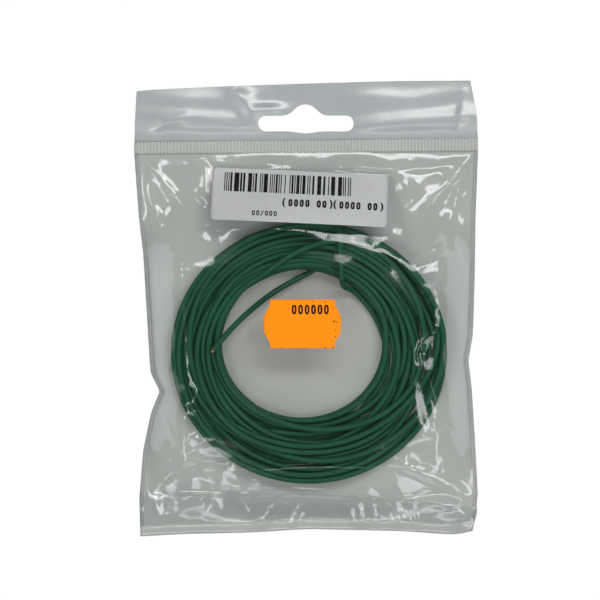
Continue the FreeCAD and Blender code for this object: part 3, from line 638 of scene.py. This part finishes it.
def loose_winding(settings):
    """The coil as it lies: turns stray from the neat winding, then settle on each other.

    Where turns share a slice of the ring they push apart, each step also sinks a little and
    stays in line with its neighbours along the wire. The result is the same on every run.
    """
    thick = settings.diameter / MM
    angle, share, layer = winding_plan()
    along = np.arange(len(angle)) / STEPS_PER_TURN
    fan = FAN_LEAST + (1 - FAN_LEAST) * eased((1 - np.cos(np.radians(angle - TIE_ANGLE))) / FAN_SPREAD)
    stray = np.zeros_like(share)
    random = np.random.default_rng(11)
    for cycles in STRAY_CYCLES:
        stray += np.sin(2 * math.pi * (cycles * along + random.random())) / (0.6 + cycles)
    share = np.clip(share + fan * stray * settings.looseness / MM / BAND, 0.0, 1.0)
    share, lifted = crossing_turn(along, share)
    height = FLOOR_LEVEL + LAYER_RISE * (layer + lifted)
    out = share * BAND
    target = out.copy()
    wrap = (angle - TIE_ANGLE + 180) % 360 - 180
    floor = LOWEST_TURN + TIE_ROOM * np.exp(-(wrap / TIE_REACH) ** 2)
    for step in range(SETTLING_STEPS):
        aside, up = pushed_apart(out, height, thick)
        out = out + aside
        height = height + up - (SINK_STEP if step < SINKING_STEPS else 0.0)
        smooth = EVEN_SHARE if step < SMOOTHING_STEPS else LAST_EVEN_SHARE
        lean = out - target
        lean[1:-1] += smooth * ((lean[:-2] + lean[2:]) / 2 - lean[1:-1])
        out = np.clip(target + lean * LEAN_KEPT, -BAND_SLACK, BAND + BAND_SLACK)
        height[1:-1] += smooth * ((height[:-2] + height[2:]) / 2 - height[1:-1])
        height = np.maximum(height, floor)
    x, y = ring_point(angle, out / BAND)
    turns = (len(angle) - 1) / STEPS_PER_TURN
    print("loose coil: %.2f turns, top %.2f mm" % (turns, height.max() + thick / 2))
    return np.stack([x, y, height], axis=-1)


def crossing_turn(along, share):
    """One late turn crosses over the others, from the ring's inside to its outside."""
    steps = np.arange(len(along)) - np.argmin(np.abs(along - CROSSING_TURN))
    inner = eased((steps + 46) / 26) * eased((4 - steps) / 9)
    outer = eased((steps + 4) / 9) * eased((34 - steps) / 26)
    lifted = 1.2 * eased((steps + 30) / 16) * eased((26 - steps) / 16)
    return share * (1 - inner - outer) + 0.02 * inner + 0.97 * outer, lifted


def pushed_apart(out, height, thick):
    """How far each step of the wire moves away from the turns beside it in its slice of the ring."""
    rows = math.ceil(len(out) / STEPS_PER_TURN)
    spare = rows * STEPS_PER_TURN - len(out)
    flat_out, flat_up = (np.pad(value, (0, spare), constant_values=1e4).reshape(rows, STEPS_PER_TURN)
                         for value in (out, height))
    away = flat_out[:, None] - flat_out[None]
    above = flat_up[:, None] - flat_up[None]
    gap = np.sqrt(away ** 2 + above ** 2) + 1e-6
    push = np.where((gap < thick) & (gap > 1e-5), (thick - gap) / gap * PUSH_SHARE, 0.0)
    return (push * away).sum(1).ravel()[:len(out)], (push * above).sum(1).ravel()[:len(out)]


def top_of_coil(coil, x, y, reach):
    """How high the wound turns reach near a place."""
    away = np.hypot(coil[:, 0] - x, coil[:, 1] - y)
    return float(np.max(np.where(away < reach, coil[:, 2], 0.0)))


def wire_points(settings):
    """The free end's control points from its cut end on, and the wound coil's."""
    thick = settings.diameter / MM
    coil = loose_winding(settings)
    free = []
    for x, y, wires in FREE_ROUTE:
        level = FLOOR_LEVEL + wires * thick
        if wires > OVER_COIL:
            top = top_of_coil(coil, x, y, COIL_REACH) + thick
            touch = top_of_coil(coil, x, y, TOUCH_REACH * thick) + thick
            level = max(FLOOR_LEVEL + wires / OVER * (top - FLOOR_LEVEL), touch)
        free.append((x, y, max(level, LOWEST_FREE)))
    return np.array(free), coil


def start_group(name, sockets):
    """A geometry node tree with these named inputs and a geometry output, and its input sockets."""
    tree = bpy.data.node_groups.new(name, "GeometryNodeTree")
    for label, default in sockets.items():
        kind = "NodeSocketInt" if isinstance(default, int) else "NodeSocketFloat"
        tree.interface.new_socket(label, in_out="INPUT", socket_type=kind).default_value = default
    tree.interface.new_socket("Geometry", in_out="OUTPUT", socket_type="NodeSocketGeometry")
    return tree, node(tree, "NodeGroupInput").outputs


def finish_group(tree, geometry, material):
    """Give the realized geometry its material and lead it to the tree's output."""
    painted = node(tree, "GeometryNodeSetMaterial", {"Geometry": geometry, "Material": material})
    node(tree, "NodeGroupOutput", {0: painted.outputs[0]})
    return tree


def on_points(tree, points, item, **inputs):
    """The item once on each point."""
    return node(tree, "GeometryNodeInstanceOnPoints",
                {"Points": points, "Instance": item, **inputs}).outputs[0]


def weld_rib_tree(material):
    """Geometry nodes for the ribs of the weld: a row of round bars with a bead at each end."""
    tree, given = start_group("Weld ribs", {"Count": 102, "Pitch": 0.001, "Slant": 0.0, "Width": 0.0005,
                                            "Length": 0.004, "Seed": 3})
    rise = maths(tree, "MULTIPLY", given["Pitch"], given["Slant"])
    step = node(tree, "ShaderNodeCombineXYZ", {"X": given["Pitch"], "Y": rise}).outputs[0]
    row = node(tree, "GeometryNodeMeshLine", {"Count": given["Count"], "Offset": step}).outputs[0]
    end = node(tree, "ShaderNodeCombineXYZ", {"Y": given["Length"]}).outputs[0]
    spine = node(tree, "GeometryNodeCurvePrimitiveLine", {"End": end}).outputs[0]
    radius = maths(tree, "MULTIPLY", given["Width"], 0.5)
    ring = node(tree, "GeometryNodeCurvePrimitiveCircle", {"Resolution": 6, "Radius": radius}).outputs[0]
    bar = node(tree, "GeometryNodeCurveToMesh", {"Curve": spine, "Profile Curve": ring, "Fill Caps": True})
    bead_radius = maths(tree, "MULTIPLY", given["Width"], 0.62)
    bead = node(tree, "GeometryNodeMeshUVSphere",
                {"Segments": 8, "Rings": 5, "Radius": bead_radius}).outputs[0]
    grow = node(tree, "FunctionNodeRandomValue", {2: 0.7, 3: 1.15, "Seed": given["Seed"]}).outputs[1]
    far_row = node(tree, "GeometryNodeSetPosition", {"Geometry": row, "Offset": end}).outputs[0]
    joined = node(tree, "GeometryNodeJoinGeometry")
    for part in (on_points(tree, row, bar.outputs[0]), on_points(tree, row, bead, Scale=grow),
                 on_points(tree, far_row, bead, Scale=grow)):
        tree.links.new(part, joined.inputs[0])
    real = node(tree, "GeometryNodeRealizeInstances", {0: joined.outputs[0]})
    return finish_group(tree, real.outputs[0], material)


def barcode_tree(material):
    """Geometry nodes for the barcode: a row of thin bars, of which a seed leaves some out."""
    tree, given = start_group("Barcode", {"Modules": 128, "Module": 0.0003, "Length": 0.0064, "Share": 0.46,
                                          "Seed": 4})
    step = node(tree, "ShaderNodeCombineXYZ", {"X": given["Module"]}).outputs[0]
    row = node(tree, "GeometryNodeMeshLine", {"Count": given["Modules"], "Offset": step}).outputs[0]
    left_out = node(tree, "FunctionNodeRandomValue", {"Probability": given["Share"], "Seed": given["Seed"]},
                    data_type="BOOLEAN").outputs[3]
    kept = node(tree, "GeometryNodeDeleteGeometry", {"Geometry": row, "Selection": left_out}, domain="POINT")
    bar = node(tree, "GeometryNodeMeshGrid", {"Size X": given["Module"], "Size Y": given["Length"],
                                              "Vertices X": 2, "Vertices Y": 10})
    bars = on_points(tree, kept.outputs[0], bar.outputs[0])
    real = node(tree, "GeometryNodeRealizeInstances", {0: bars})
    whole = node(tree, "GeometryNodeMergeByDistance", {"Geometry": real.outputs[0], "Distance": 0.00002})
    return finish_group(tree, whole.outputs[0], material)


def grown_mesh(name, tree, values):
    """Run a geometry node tree with these inputs and keep what it makes as a plain mesh."""
    carrier = bpy.data.objects.new(name, bpy.data.meshes.new(name + "_seed"))
    bpy.context.scene.collection.objects.link(carrier)
    modifier = carrier.modifiers.new("Nodes", "NODES")
    modifier.node_group = tree
    for item in tree.interface.items_tree:
        if item.in_out == "INPUT" and item.name in values:
            modifier[item.identifier] = values[item.name]
    carrier.update_tag()
    view = bpy.context.evaluated_depsgraph_get()
    mesh = bpy.data.meshes.new_from_object(carrier.evaluated_get(view))
    bpy.data.objects.remove(carrier)
    mesh.name = name
    return mesh


# Specks of ink on the sticker: place, lean, height and width.
STICKER_MARKS = (
    (3.6, 7.5, 0.0, 0.5, 0.2), (7.6, 7.3, 0.1, 0.5, 0.25), (10.2, 5.2, 0.4, 1.6, 0.12),
    (10.4, 0.9, 0.5, 0.5, 0.5), (11.2, 0.6, 0.5, 0.35, 0.5), (11.8, 2.4, 0.1, 0.4, 0.25),
    (11.0, -2.0, 0.1, 0.4, 0.3), (10.8, -4.2, 0.2, 0.4, 0.3), (7.5, -7.8, 0.1, 0.3, 0.5),
    (10.1, -7.8, 0.1, 0.2, 0.6), (1.0, -7.9, 0.0, 0.2, 0.4), (-6.6, -7.9, 0.0, 0.15, 0.6),
)


def stuck_paper(name, face, half_width, rows, thickness, material, slot, cad_node):
    """A label whose half-width changes along its length, lying on the film."""
    across = np.linspace(-1, 1, 61)
    u = np.array([half_width(v) * across for v in rows])
    v = np.repeat(np.array(rows)[:, None], len(across), axis=1)
    sheet_piece(name, *face.place(u, v), material, cad_node, thickness, slot=slot)


def outline(x, y):
    return np.stack([x, y], -1)


def zero_loop(cx, cy, width, height, stroke):
    """The outer and inner outline of a printed nought."""
    turn = np.linspace(0, 2 * math.pi, 25)[:-1]
    rounder = 2 / 2.6
    unit_x = np.sign(np.cos(turn)) * np.abs(np.cos(turn)) ** rounder
    unit_y = np.sign(np.sin(turn)) * np.abs(np.sin(turn)) ** rounder
    outer, inner = (outline(cx + unit_x * (width / 2 - rim), cy + unit_y * (height / 2 - rim))
                    for rim in (0.0, stroke))
    return outer, inner, True


def bracket_loop(cx, cy, width, height, stroke, side):
    """The two outlines of a round bracket that opens away from its side."""
    turn = np.linspace(-1.1, 1.1, 11)
    bow = side * (width * 0.95) * (np.cos(turn) - 0.45)
    rise = height * 0.6 * np.sin(turn) / math.sin(1.1)
    slim = stroke * (0.7 + 0.3 * np.cos(turn * 1.2))
    left, right = (outline(cx + bow + way * slim / 2, cy + rise) for way in (-1, 1))
    return right, left, False


def slash_loop(cx, cy, width, height, stroke):
    """The two outlines of a slash."""
    rise = np.linspace(-height / 2, height / 2, 5)
    lean = rise / height * width
    right, left = (outline(cx + lean + way * stroke / 2, cy + rise) for way in (1, -1))
    return right, left, False


def printed_row(text, left, level, pitch, height, stroke):
    """Outlines for a row of noughts, brackets, slashes and spaces, at an even pitch."""
    loops = []
    for number, letter in enumerate(text):
        cx = left + pitch * (number + 0.5)
        if letter == "0":
            loops.append(zero_loop(cx, level, pitch * 0.74, height, stroke))
        elif letter in "()":
            loops.append(bracket_loop(cx, level, pitch * 0.5, height, stroke, -1 if letter == "(" else 1))
        elif letter == "/":
            loops.append(slash_loop(cx, level, pitch * 0.6, height, stroke))
    return loops


def print_piece(name, face, loops, above, material):
    """Print made of thin ink on the label, from pairs of outlines."""
    points = []
    faces = []
    for outer, inner, closed in loops:
        first = len(points)
        count = len(outer)
        points += [*outer, *inner]
        for number in range(count if closed else count - 1):
            after = (number + 1) % count
            faces.append((first + number, first + after, first + count + after, first + count + number))
    places = np.stack(face.place(*np.array(points).T, above), -1)
    add_mesh(name, places, faces, material, "bag", "label_paper", thickness=INK_THICKNESS * MM)


class WIREBAG_OT_stage(bpy.types.Operator):
    """Build the floor, the studio lights, the world and the camera"""
    bl_idname = "wirebag.stage"
    bl_label = "Studio"

    def execute(self, context):
        scene = context.scene
        scene.view_settings.view_transform = "Standard"
        self.lay_floor(scene)
        scene.world = self.new_world()
        for name, (place, width, length, power) in LAMPS.items():
            light = bpy.data.lights.new(name, "AREA")
            light.shape = "RECTANGLE"
            light.size, light.size_y = width, length
            light.energy = power
            lamp = bpy.data.objects.new(name, light)
            lamp.location = place
            lamp.rotation_euler = (-Vector(place)).to_track_quat("-Z", "Y").to_euler()
            scene.collection.objects.link(lamp)
        camera = bpy.data.objects.new("camera", bpy.data.cameras.new("camera"))
        camera.location = (*VIEW_CENTRE, VIEW_HEIGHT)
        camera.data.sensor_width = SENSOR_WIDTH
        camera.data.lens = SENSOR_WIDTH * VIEW_HEIGHT / VIEW_WIDTH
        scene.collection.objects.link(camera)
        scene.camera = camera
        return {"FINISHED"}

    def lay_floor(self, scene):
        """A floor that the camera sees as white and that keeps the object's shadow."""
        made, tree, _ = new_material("studio_floor")
        white = node(tree, "ShaderNodeBsdfDiffuse", {"Color": FLOOR_GREY}).outputs[0]
        glow = node(tree, "ShaderNodeEmission", {"Color": WHITE, "Strength": FLOOR_GLOW}).outputs[0]
        path = node(tree, "ShaderNodeLightPath").outputs
        seen = maths(tree, "MAXIMUM", path["Is Camera Ray"], path["Is Transmission Ray"])
        shaded = mixed_shader(tree, FLOOR_SHADE, glow, white)
        finish_material(made, mixed_shader(tree, seen, white, shaded))
        mesh = bpy.data.meshes.new("studio_floor")
        corners = [(x * FLOOR_REACH, y * FLOOR_REACH, 0) for x, y in ((-1, -1), (1, -1), (1, 1), (-1, 1))]
        mesh.from_pydata(corners, [], [(0, 1, 2, 3)])
        mesh.materials.append(made)
        floor = bpy.data.objects.new("studio_floor", mesh)
        floor.location.z = STUDIO_FLOOR_LEVEL
        scene.collection.objects.link(floor)

    def new_world(self):
        """Dim surroundings with a soft bright ring half-way up, white to the camera."""
        world = bpy.data.worlds.new("studio_world")
        world.use_nodes = True
        tree = world.node_tree
        tree.nodes.clear()
        aim = node(tree, "ShaderNodeTexCoord").outputs["Generated"]
        up = node(tree, "ShaderNodeSeparateXYZ", {0: aim}).outputs["Z"]
        away = maths(tree, "ABSOLUTE", maths(tree, "SUBTRACT", up, RING_HEIGHT))
        wall = node(tree, "ShaderNodeMapRange", {"Value": away, "From Max": RING_SPREAD,
                                                 "To Min": RING_LIGHT, "To Max": ROOM_LIGHT}).outputs[0]
        soft, white = (node(tree, "ShaderNodeBackground", {"Color": WHITE, "Strength": level}).outputs[0]
                       for level in (wall, 1.0))
        camera_ray = node(tree, "ShaderNodeLightPath").outputs["Is Camera Ray"]
        node(tree, "ShaderNodeOutputWorld", {"Surface": mixed_shader(tree, camera_ray, soft, white)})
        return world


class WIREBAG_OT_wire(bpy.types.Operator):
    """Wind the wire: its loose coil, its own tie and tail, and the strands in its cut end"""
    bl_idname = "wirebag.wire"
    bl_label = "Wire"

    def execute(self, context):
        settings = context.scene.wirebag_wire
        free, coil = wire_points(settings)
        places = np.concatenate([coil[::-1], free[::-1]]) * MM
        line = bpy.data.curves.new("hookup_wire", "CURVE")
        line.dimensions = "3D"
        line.bevel_depth = settings.diameter / 2
        line.bevel_resolution = 4
        line.use_fill_caps = True
        line.resolution_u = 4
        spline = line.splines.new("NURBS")
        spline.points.add(len(places) - 1)
        spline.points.foreach_set("co", np.append(places, np.ones((len(places), 1)), axis=1).ravel())
        spline.order_u = 3
        spline.use_endpoint_u = True
        line.materials.append(insulation_finish(tuple(settings.insulation)))
        wire = bpy.data.objects.new("hookup_wire", line)
        context.scene.collection.objects.link(wire)
        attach(wire, "wire")
        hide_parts("wire_coil", "wire_tie_and_tail")
        core = self.strands(settings, free[0], (free[0] - free[1]) / np.linalg.norm(free[0] - free[1]))
        return {"FINISHED"}

    def strands(self, settings, end, way):
        """The seven strands that show in the cut end: one in the middle, six around it."""
        half = settings.strand / MM / 2
        side = np.cross(way, (0.0, 0.0, 1.0))
        side /= np.linalg.norm(side)
        rise = np.cross(side, way)
        ring = STRAND_SIDES
        turn = 2 * math.pi * np.arange(ring) / ring
        circle = np.outer(np.cos(turn), side) + np.outer(np.sin(turn), rise)
        points = []
        faces = []
        for number in range(STRANDS):
            about = math.radians(60 * number)
            offset = (side * math.cos(about) + rise * math.sin(about)) * (2 * half if number else 0.0)
            first = len(points)
            for depth, share in STRAND_RINGS:
                points += [*(end + offset + way * depth + circle * (share * half))]
            for low in (first, first + ring):
                faces += [(low + step, low + ring + step, low + ring + after, low + after)
                          for step, after in zip(range(ring), [*range(1, ring), 0])]
            faces.append(range(first, first + ring))
            faces.append(reversed(range(first + 2 * ring, first + 3 * ring)))
        finish = copper_finish(tuple(settings.copper))
        return add_mesh("conductor_strands", points, faces, finish, "wire", "conductor", "wire_conductor")


class WIREBAG_OT_pouch(bpy.types.Operator):
    """Make the pouch: the back film and the wrinkled front film over the coil"""
    bl_idname = "wirebag.pouch"
    bl_label = "Pouch"

    def execute(self, context):
        settings = context.scene.wirebag_bag
        x, y = spread_grid(90, 110, bottom_y, weld_low_y)
        back = back_film_finish("polypropylene_film_grey", tuple(settings.smoky))
        sheet_piece("back_film", x, y, np.full_like(x, BACK_LEVEL), back, "pouch_back_film", settings.film)
        x, y = spread_grid(270, 320, lambda v: bottom_y(v) + MOUTH_MARGIN, weld_low_y, SEAM_WIDTH)
        clear = film_finish("polypropylene_film_clear", settings, 0.004, 0.12, 0.0001)
        sheet_piece("front_film", x, y, film_height(x, y), clear, "pouch_front_film")
        return {"FINISHED"}


class WIREBAG_OT_header(bpy.types.Operator):
    """Make the header's two plies, each with the euro slot cut through"""
    bl_idname = "wirebag.header"
    bl_label = "Header"

    def execute(self, context):
        settings = context.scene.wirebag_bag
        back = back_film_finish("polypropylene_header_grey", tuple(settings.cool))
        clear = film_finish("polypropylene_header", settings, 0.01, 0.24, 0.00006)
        self.ply("header_back", HEADER_BACK_LEVEL, settings.film, back, "header_back_ply")
        self.ply("header_front", HEADER_FRONT_LEVEL, 0.0, clear, "header_front_ply")
        return {"FINISHED"}

    def slot_distance(self, x, y):
        """How far a place is outside the euro slot's outline, and which way leads out of it."""
        bar_x, bar_y = x - np.clip(x, -SLOT_REACH, SLOT_REACH), y - SLOT_Y
        hump_x, hump_y = x - HUMP_X, y - HUMP_Y
        bar_far, hump_far = np.hypot(bar_x, bar_y), np.hypot(hump_x, hump_y)
        bar_gap, hump_gap = bar_far - SLOT_RADIUS, hump_far - HUMP_RADIUS
        blend = np.clip(0.5 + 0.5 * (bar_gap - hump_gap) / SLOT_FILLET, 0, 1)
        gap = bar_gap * (1 - blend) + hump_gap * blend - SLOT_FILLET * blend * (1 - blend)
        out_x, out_y = (bar / (bar_far + 1e-9) * (1 - blend) + hump / (hump_far + 1e-9) * blend
                        for bar, hump in ((bar_x, hump_x), (bar_y, hump_y)))
        length = np.hypot(out_x, out_y) + 1e-9
        return gap, out_x / length, out_y / length

    def ply(self, name, level, thickness, material, cad_node):
        """One ply: a grid without the faces in the slot, its rim drawn onto the slot's outline."""
        x, y = spread_grid(250, 46, weld_high_y, top_y)
        faces = grid_faces(*x.shape)
        x, y = x.ravel(), y.ravel()
        faces = faces[self.slot_distance(x[faces].mean(1), y[faces].mean(1))[0] > 0]
        used, counts = np.unique(faces, return_counts=True)
        gap, out_x, out_y = self.slot_distance(x, y)
        rim = np.zeros(len(x), bool)
        rim[used[counts < 4]] = True
        rim &= np.abs(gap) < 0.8
        x = np.where(rim, x - gap * out_x, x)[used]
        y = np.where(rim, y - gap * out_y, y)[used]
        renumber = np.full(len(rim), -1)
        renumber[used] = np.arange(len(used))
        points = np.stack([x, y, level + header_height(x, y)], -1)
        add_mesh(name, points, renumber[faces], material, "bag", "clear_film", cad_node, thickness=thickness)


class WIREBAG_OT_seams(bpy.types.Operator):
    """Weld the bag: both side seams, and the ribbed band between header and pouch"""
    bl_idname = "wirebag.seams"
    bl_label = "Seams"

    def execute(self, context):
        settings = context.scene.wirebag_bag
        milky = film_finish("polypropylene_weld", settings, 0.06, 0.12, 0.00006)
        rows = np.linspace(0, 1, 260)
        inset = np.linspace(0, SEAM_WIDTH + SEAM_OVERLAP, 5)[None, :]
        for name, edge, near, far in (("left", left_x, -55.5, -57.0), ("right", right_x, 55.5, 57.0)):
            low, high = bottom_y(near) + MOUTH_MARGIN, weld_low_y(far)
            y = (low + (high - low) * rows)[:, None] + np.zeros((1, 5))
            x = edge(y) + inset if name == "left" else edge(y) - inset[:, ::-1]
            sheet_piece("side_seam_" + name, x, y, np.full_like(x, SIDE_SEAM_LEVEL), milky,
                        name + "_side_seam", SEAM_THICKNESS * MM)
        x, y = spread_grid(120, 6, lambda v: weld_low_y(v) - WELD_OVERLAP,
                           lambda v: weld_high_y(v) + WELD_OVERLAP)
        grey = bpy.data.materials["polypropylene_film_grey"]
        sheet_piece("weld_band", x, y, np.full_like(x, HEADER_BACK_LEVEL), grey, "header_weld",
                    WELD_THICKNESS * MM)
        self.ribs(settings, milky)
        return {"FINISHED"}

    def ribs(self, settings, milky):
        """The row of ribs that the welding bar pressed into the band."""
        wide = right_x(WELD_Y) - left_x(WELD_Y)
        count = int(wide * MM / settings.rib_pitch)
        slant = (weld_low_y(50.0) - weld_low_y(-50.0)) / 100.0
        mesh = grown_mesh("weld_ribs", weld_rib_tree(milky),
                          {"Count": count, "Pitch": settings.rib_pitch, "Slant": float(slant),
                           "Width": settings.rib_width, "Length": RIB_LENGTH * MM, "Seed": 3})
        start = left_x(WELD_Y) + (wide - (count - 1) * settings.rib_pitch / MM) / 2
        for vertex in mesh.vertices:
            vertex.co.x += start * MM
            vertex.co.y += weld_low_y(start) * MM
            vertex.co.z = vertex.co.z * RIB_FLATNESS + RIB_LEVEL * MM
        add_piece("weld_ribs", mesh, milky, "bag", "clear_film", "header_weld")


class WIREBAG_OT_flap(bpy.types.Operator):
    """Fold the closing flap over the pouch's mouth, with its adhesive tape"""
    bl_idname = "wirebag.flap"
    bl_label = "Flap"

    def execute(self, context):
        settings = context.scene.wirebag_bag
        x, y = spread_grid(250, 46, bottom_y, flap_y)
        film = bpy.data.materials["polypropylene_film_clear"]
        sheet_piece("closing_flap_film", x, y, flap_height(x, y), film, "closing_flap", body="flap")
        tape = tape_finish(tuple(settings.milky))
        x, y = spread_grid(150, 10, lambda v: flap_y(v) - TAPE_LOW, lambda v: flap_y(v) - TAPE_HIGH,
                           TAPE_INSET)
        sheet_piece("flap_tape", x, y, flap_height(x, y) - 0.16, tape, "flap_adhesive_tape", body="flap",
                    slot="adhesive")
        return {"FINISHED"}


class WIREBAG_OT_barcode_label(bpy.types.Operator):
    """Stick the barcode label below the header and print its bars and noughts"""
    bl_idname = "wirebag.barcode_label"
    bl_label = "Barcode label"

    def execute(self, context):
        settings = context.scene.wirebag_label
        half, straight = settings.width / MM / 2, settings.length / MM / 2 - LABEL_CORNER

        def half_width(v):
            over = max(abs(v) - straight, 0.0)
            return half - LABEL_CORNER + math.sqrt(max(LABEL_CORNER ** 2 - over ** 2, 0.0))

        ends = [straight + LABEL_CORNER * math.cos(turn) for turn in np.linspace(0, math.pi / 2, 6)]
        rows = sorted([-end for end in ends] + list(np.linspace(-straight, straight, 34)[1:-1]) + ends)
        paper = paper_finish("satin_label_paper", tuple(settings.paper), 0.42, 0.93)
        stuck_paper("barcode_label_paper", BARCODE_FACE, half_width, rows, 0.12 * MM, paper,
                    "label_paper", "barcode_label")
        ink = ink_finish(tuple(settings.ink))
        mesh = grown_mesh("barcode_bars", barcode_tree(ink),
                          {"Modules": int(BARS_WIDTH * MM / settings.module), "Module": settings.module,
                           "Length": settings.bar_length, "Share": 0.46, "Seed": settings.seed})
        flat = np.array([vertex.co for vertex in mesh.vertices]) / MM
        places = BARCODE_FACE.place(flat[:, 0] + BARS_AT[0], flat[:, 1] + BARS_AT[1], LABEL_INK_LEVEL)
        for vertex, place in zip(mesh.vertices, np.stack(places, -1) * MM):
            vertex.co = place
        add_piece("barcode_bars", mesh, ink, "bag", "label_paper", thickness=INK_THICKNESS * MM)
        loops = printed_row("(0000 00)(0000 00)", -5.7, -2.1, 1.88, 2.5, 0.6)
        loops += printed_row("00/000", -15.7, -6.0, 1.45, 1.7, 0.36)
        print_piece("label_print", BARCODE_FACE, loops, LABEL_INK_LEVEL, ink)
        return {"FINISHED"}


class WIREBAG_OT_price_sticker(bpy.types.Operator):
    """Stick the price sticker over the coil's opening and print its noughts"""
    bl_idname = "wirebag.price_sticker"
    bl_label = "Price sticker"

    def execute(self, context):
        settings = context.scene.wirebag_label
        half = STICKER_FACE.length / 2

        def half_width(v):
            return STICKER_FLAT + STICKER_BULGE * float(1 - eased((abs(v) / half - 0.22) / 0.68))

        # The last value, 0.12, is painted glow: the sticker emits its own orange whatever the light, standing
        # in for its fluorescent brightening.
        paper = paper_finish("fluorescent_orange_paper", tuple(settings.orange), 0.6, 0.94, 0.12)
        stuck_paper("price_sticker_paper", STICKER_FACE, half_width, np.linspace(-half, half, 41), 0.1 * MM,
                    paper, "sticker_paper", "price_sticker")
        loops = printed_row("000000", -3.8, 4.75, 2.13, 3.2, 0.6)
        loops += [slash_loop(*mark) for mark in STICKER_MARKS]
        ink = bpy.data.materials["thermal_print"]
        print_piece("sticker_print", STICKER_FACE, loops, STICKER_INK_LEVEL, ink)
        return {"FINISHED"}


class WIREBAG_PT_panel(bpy.types.Panel):
    """The bag's pieces, in the order in which they are made"""
    bl_idname = "WIREBAG_PT_panel"
    bl_label = "Bagged coil of wire"
    bl_space_type = "VIEW_3D"
    bl_region_type = "UI"
    bl_category = "Wire bag"

    def draw(self, context):
        for name in SETTINGS:
            group = getattr(context.scene, name)
            box = self.layout.box()
            for prop in group.bl_rna.properties:
                if prop.identifier not in ("name", "rna_type"):
                    box.prop(group, prop.identifier)
        for operator in OPERATORS:
            self.layout.operator(operator.bl_idname)


SETTINGS = {"wirebag_wire": WireSettings, "wirebag_bag": BagSettings, "wirebag_label": LabelSettings}
OPERATORS = (
    WIREBAG_OT_stage,
    WIREBAG_OT_wire,
    WIREBAG_OT_pouch,
    WIREBAG_OT_header,
    WIREBAG_OT_seams,
    WIREBAG_OT_flap,
    WIREBAG_OT_barcode_label,
    WIREBAG_OT_price_sticker,
)
CLASSES = (*SETTINGS.values(), *OPERATORS, WIREBAG_PT_panel)


def register():
    for item in CLASSES:
        bpy.utils.register_class(item)
    for name, group in SETTINGS.items():
        setattr(bpy.types.Scene, name, bpy.props.PointerProperty(type=group))


def unregister():
    for name in SETTINGS:
        delattr(bpy.types.Scene, name)
    for item in reversed(CLASSES):
        bpy.utils.unregister_class(item)


def main():
    """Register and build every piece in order."""
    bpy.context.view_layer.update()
    register()
    bpy.ops.wirebag.stage()
    bpy.ops.wirebag.wire()
    bpy.ops.wirebag.pouch()
    bpy.ops.wirebag.header()
    bpy.ops.wirebag.seams()
    bpy.ops.wirebag.flap()
    bpy.ops.wirebag.barcode_label()
    bpy.ops.wirebag.price_sticker()


if __name__ == "__main__":
    main()
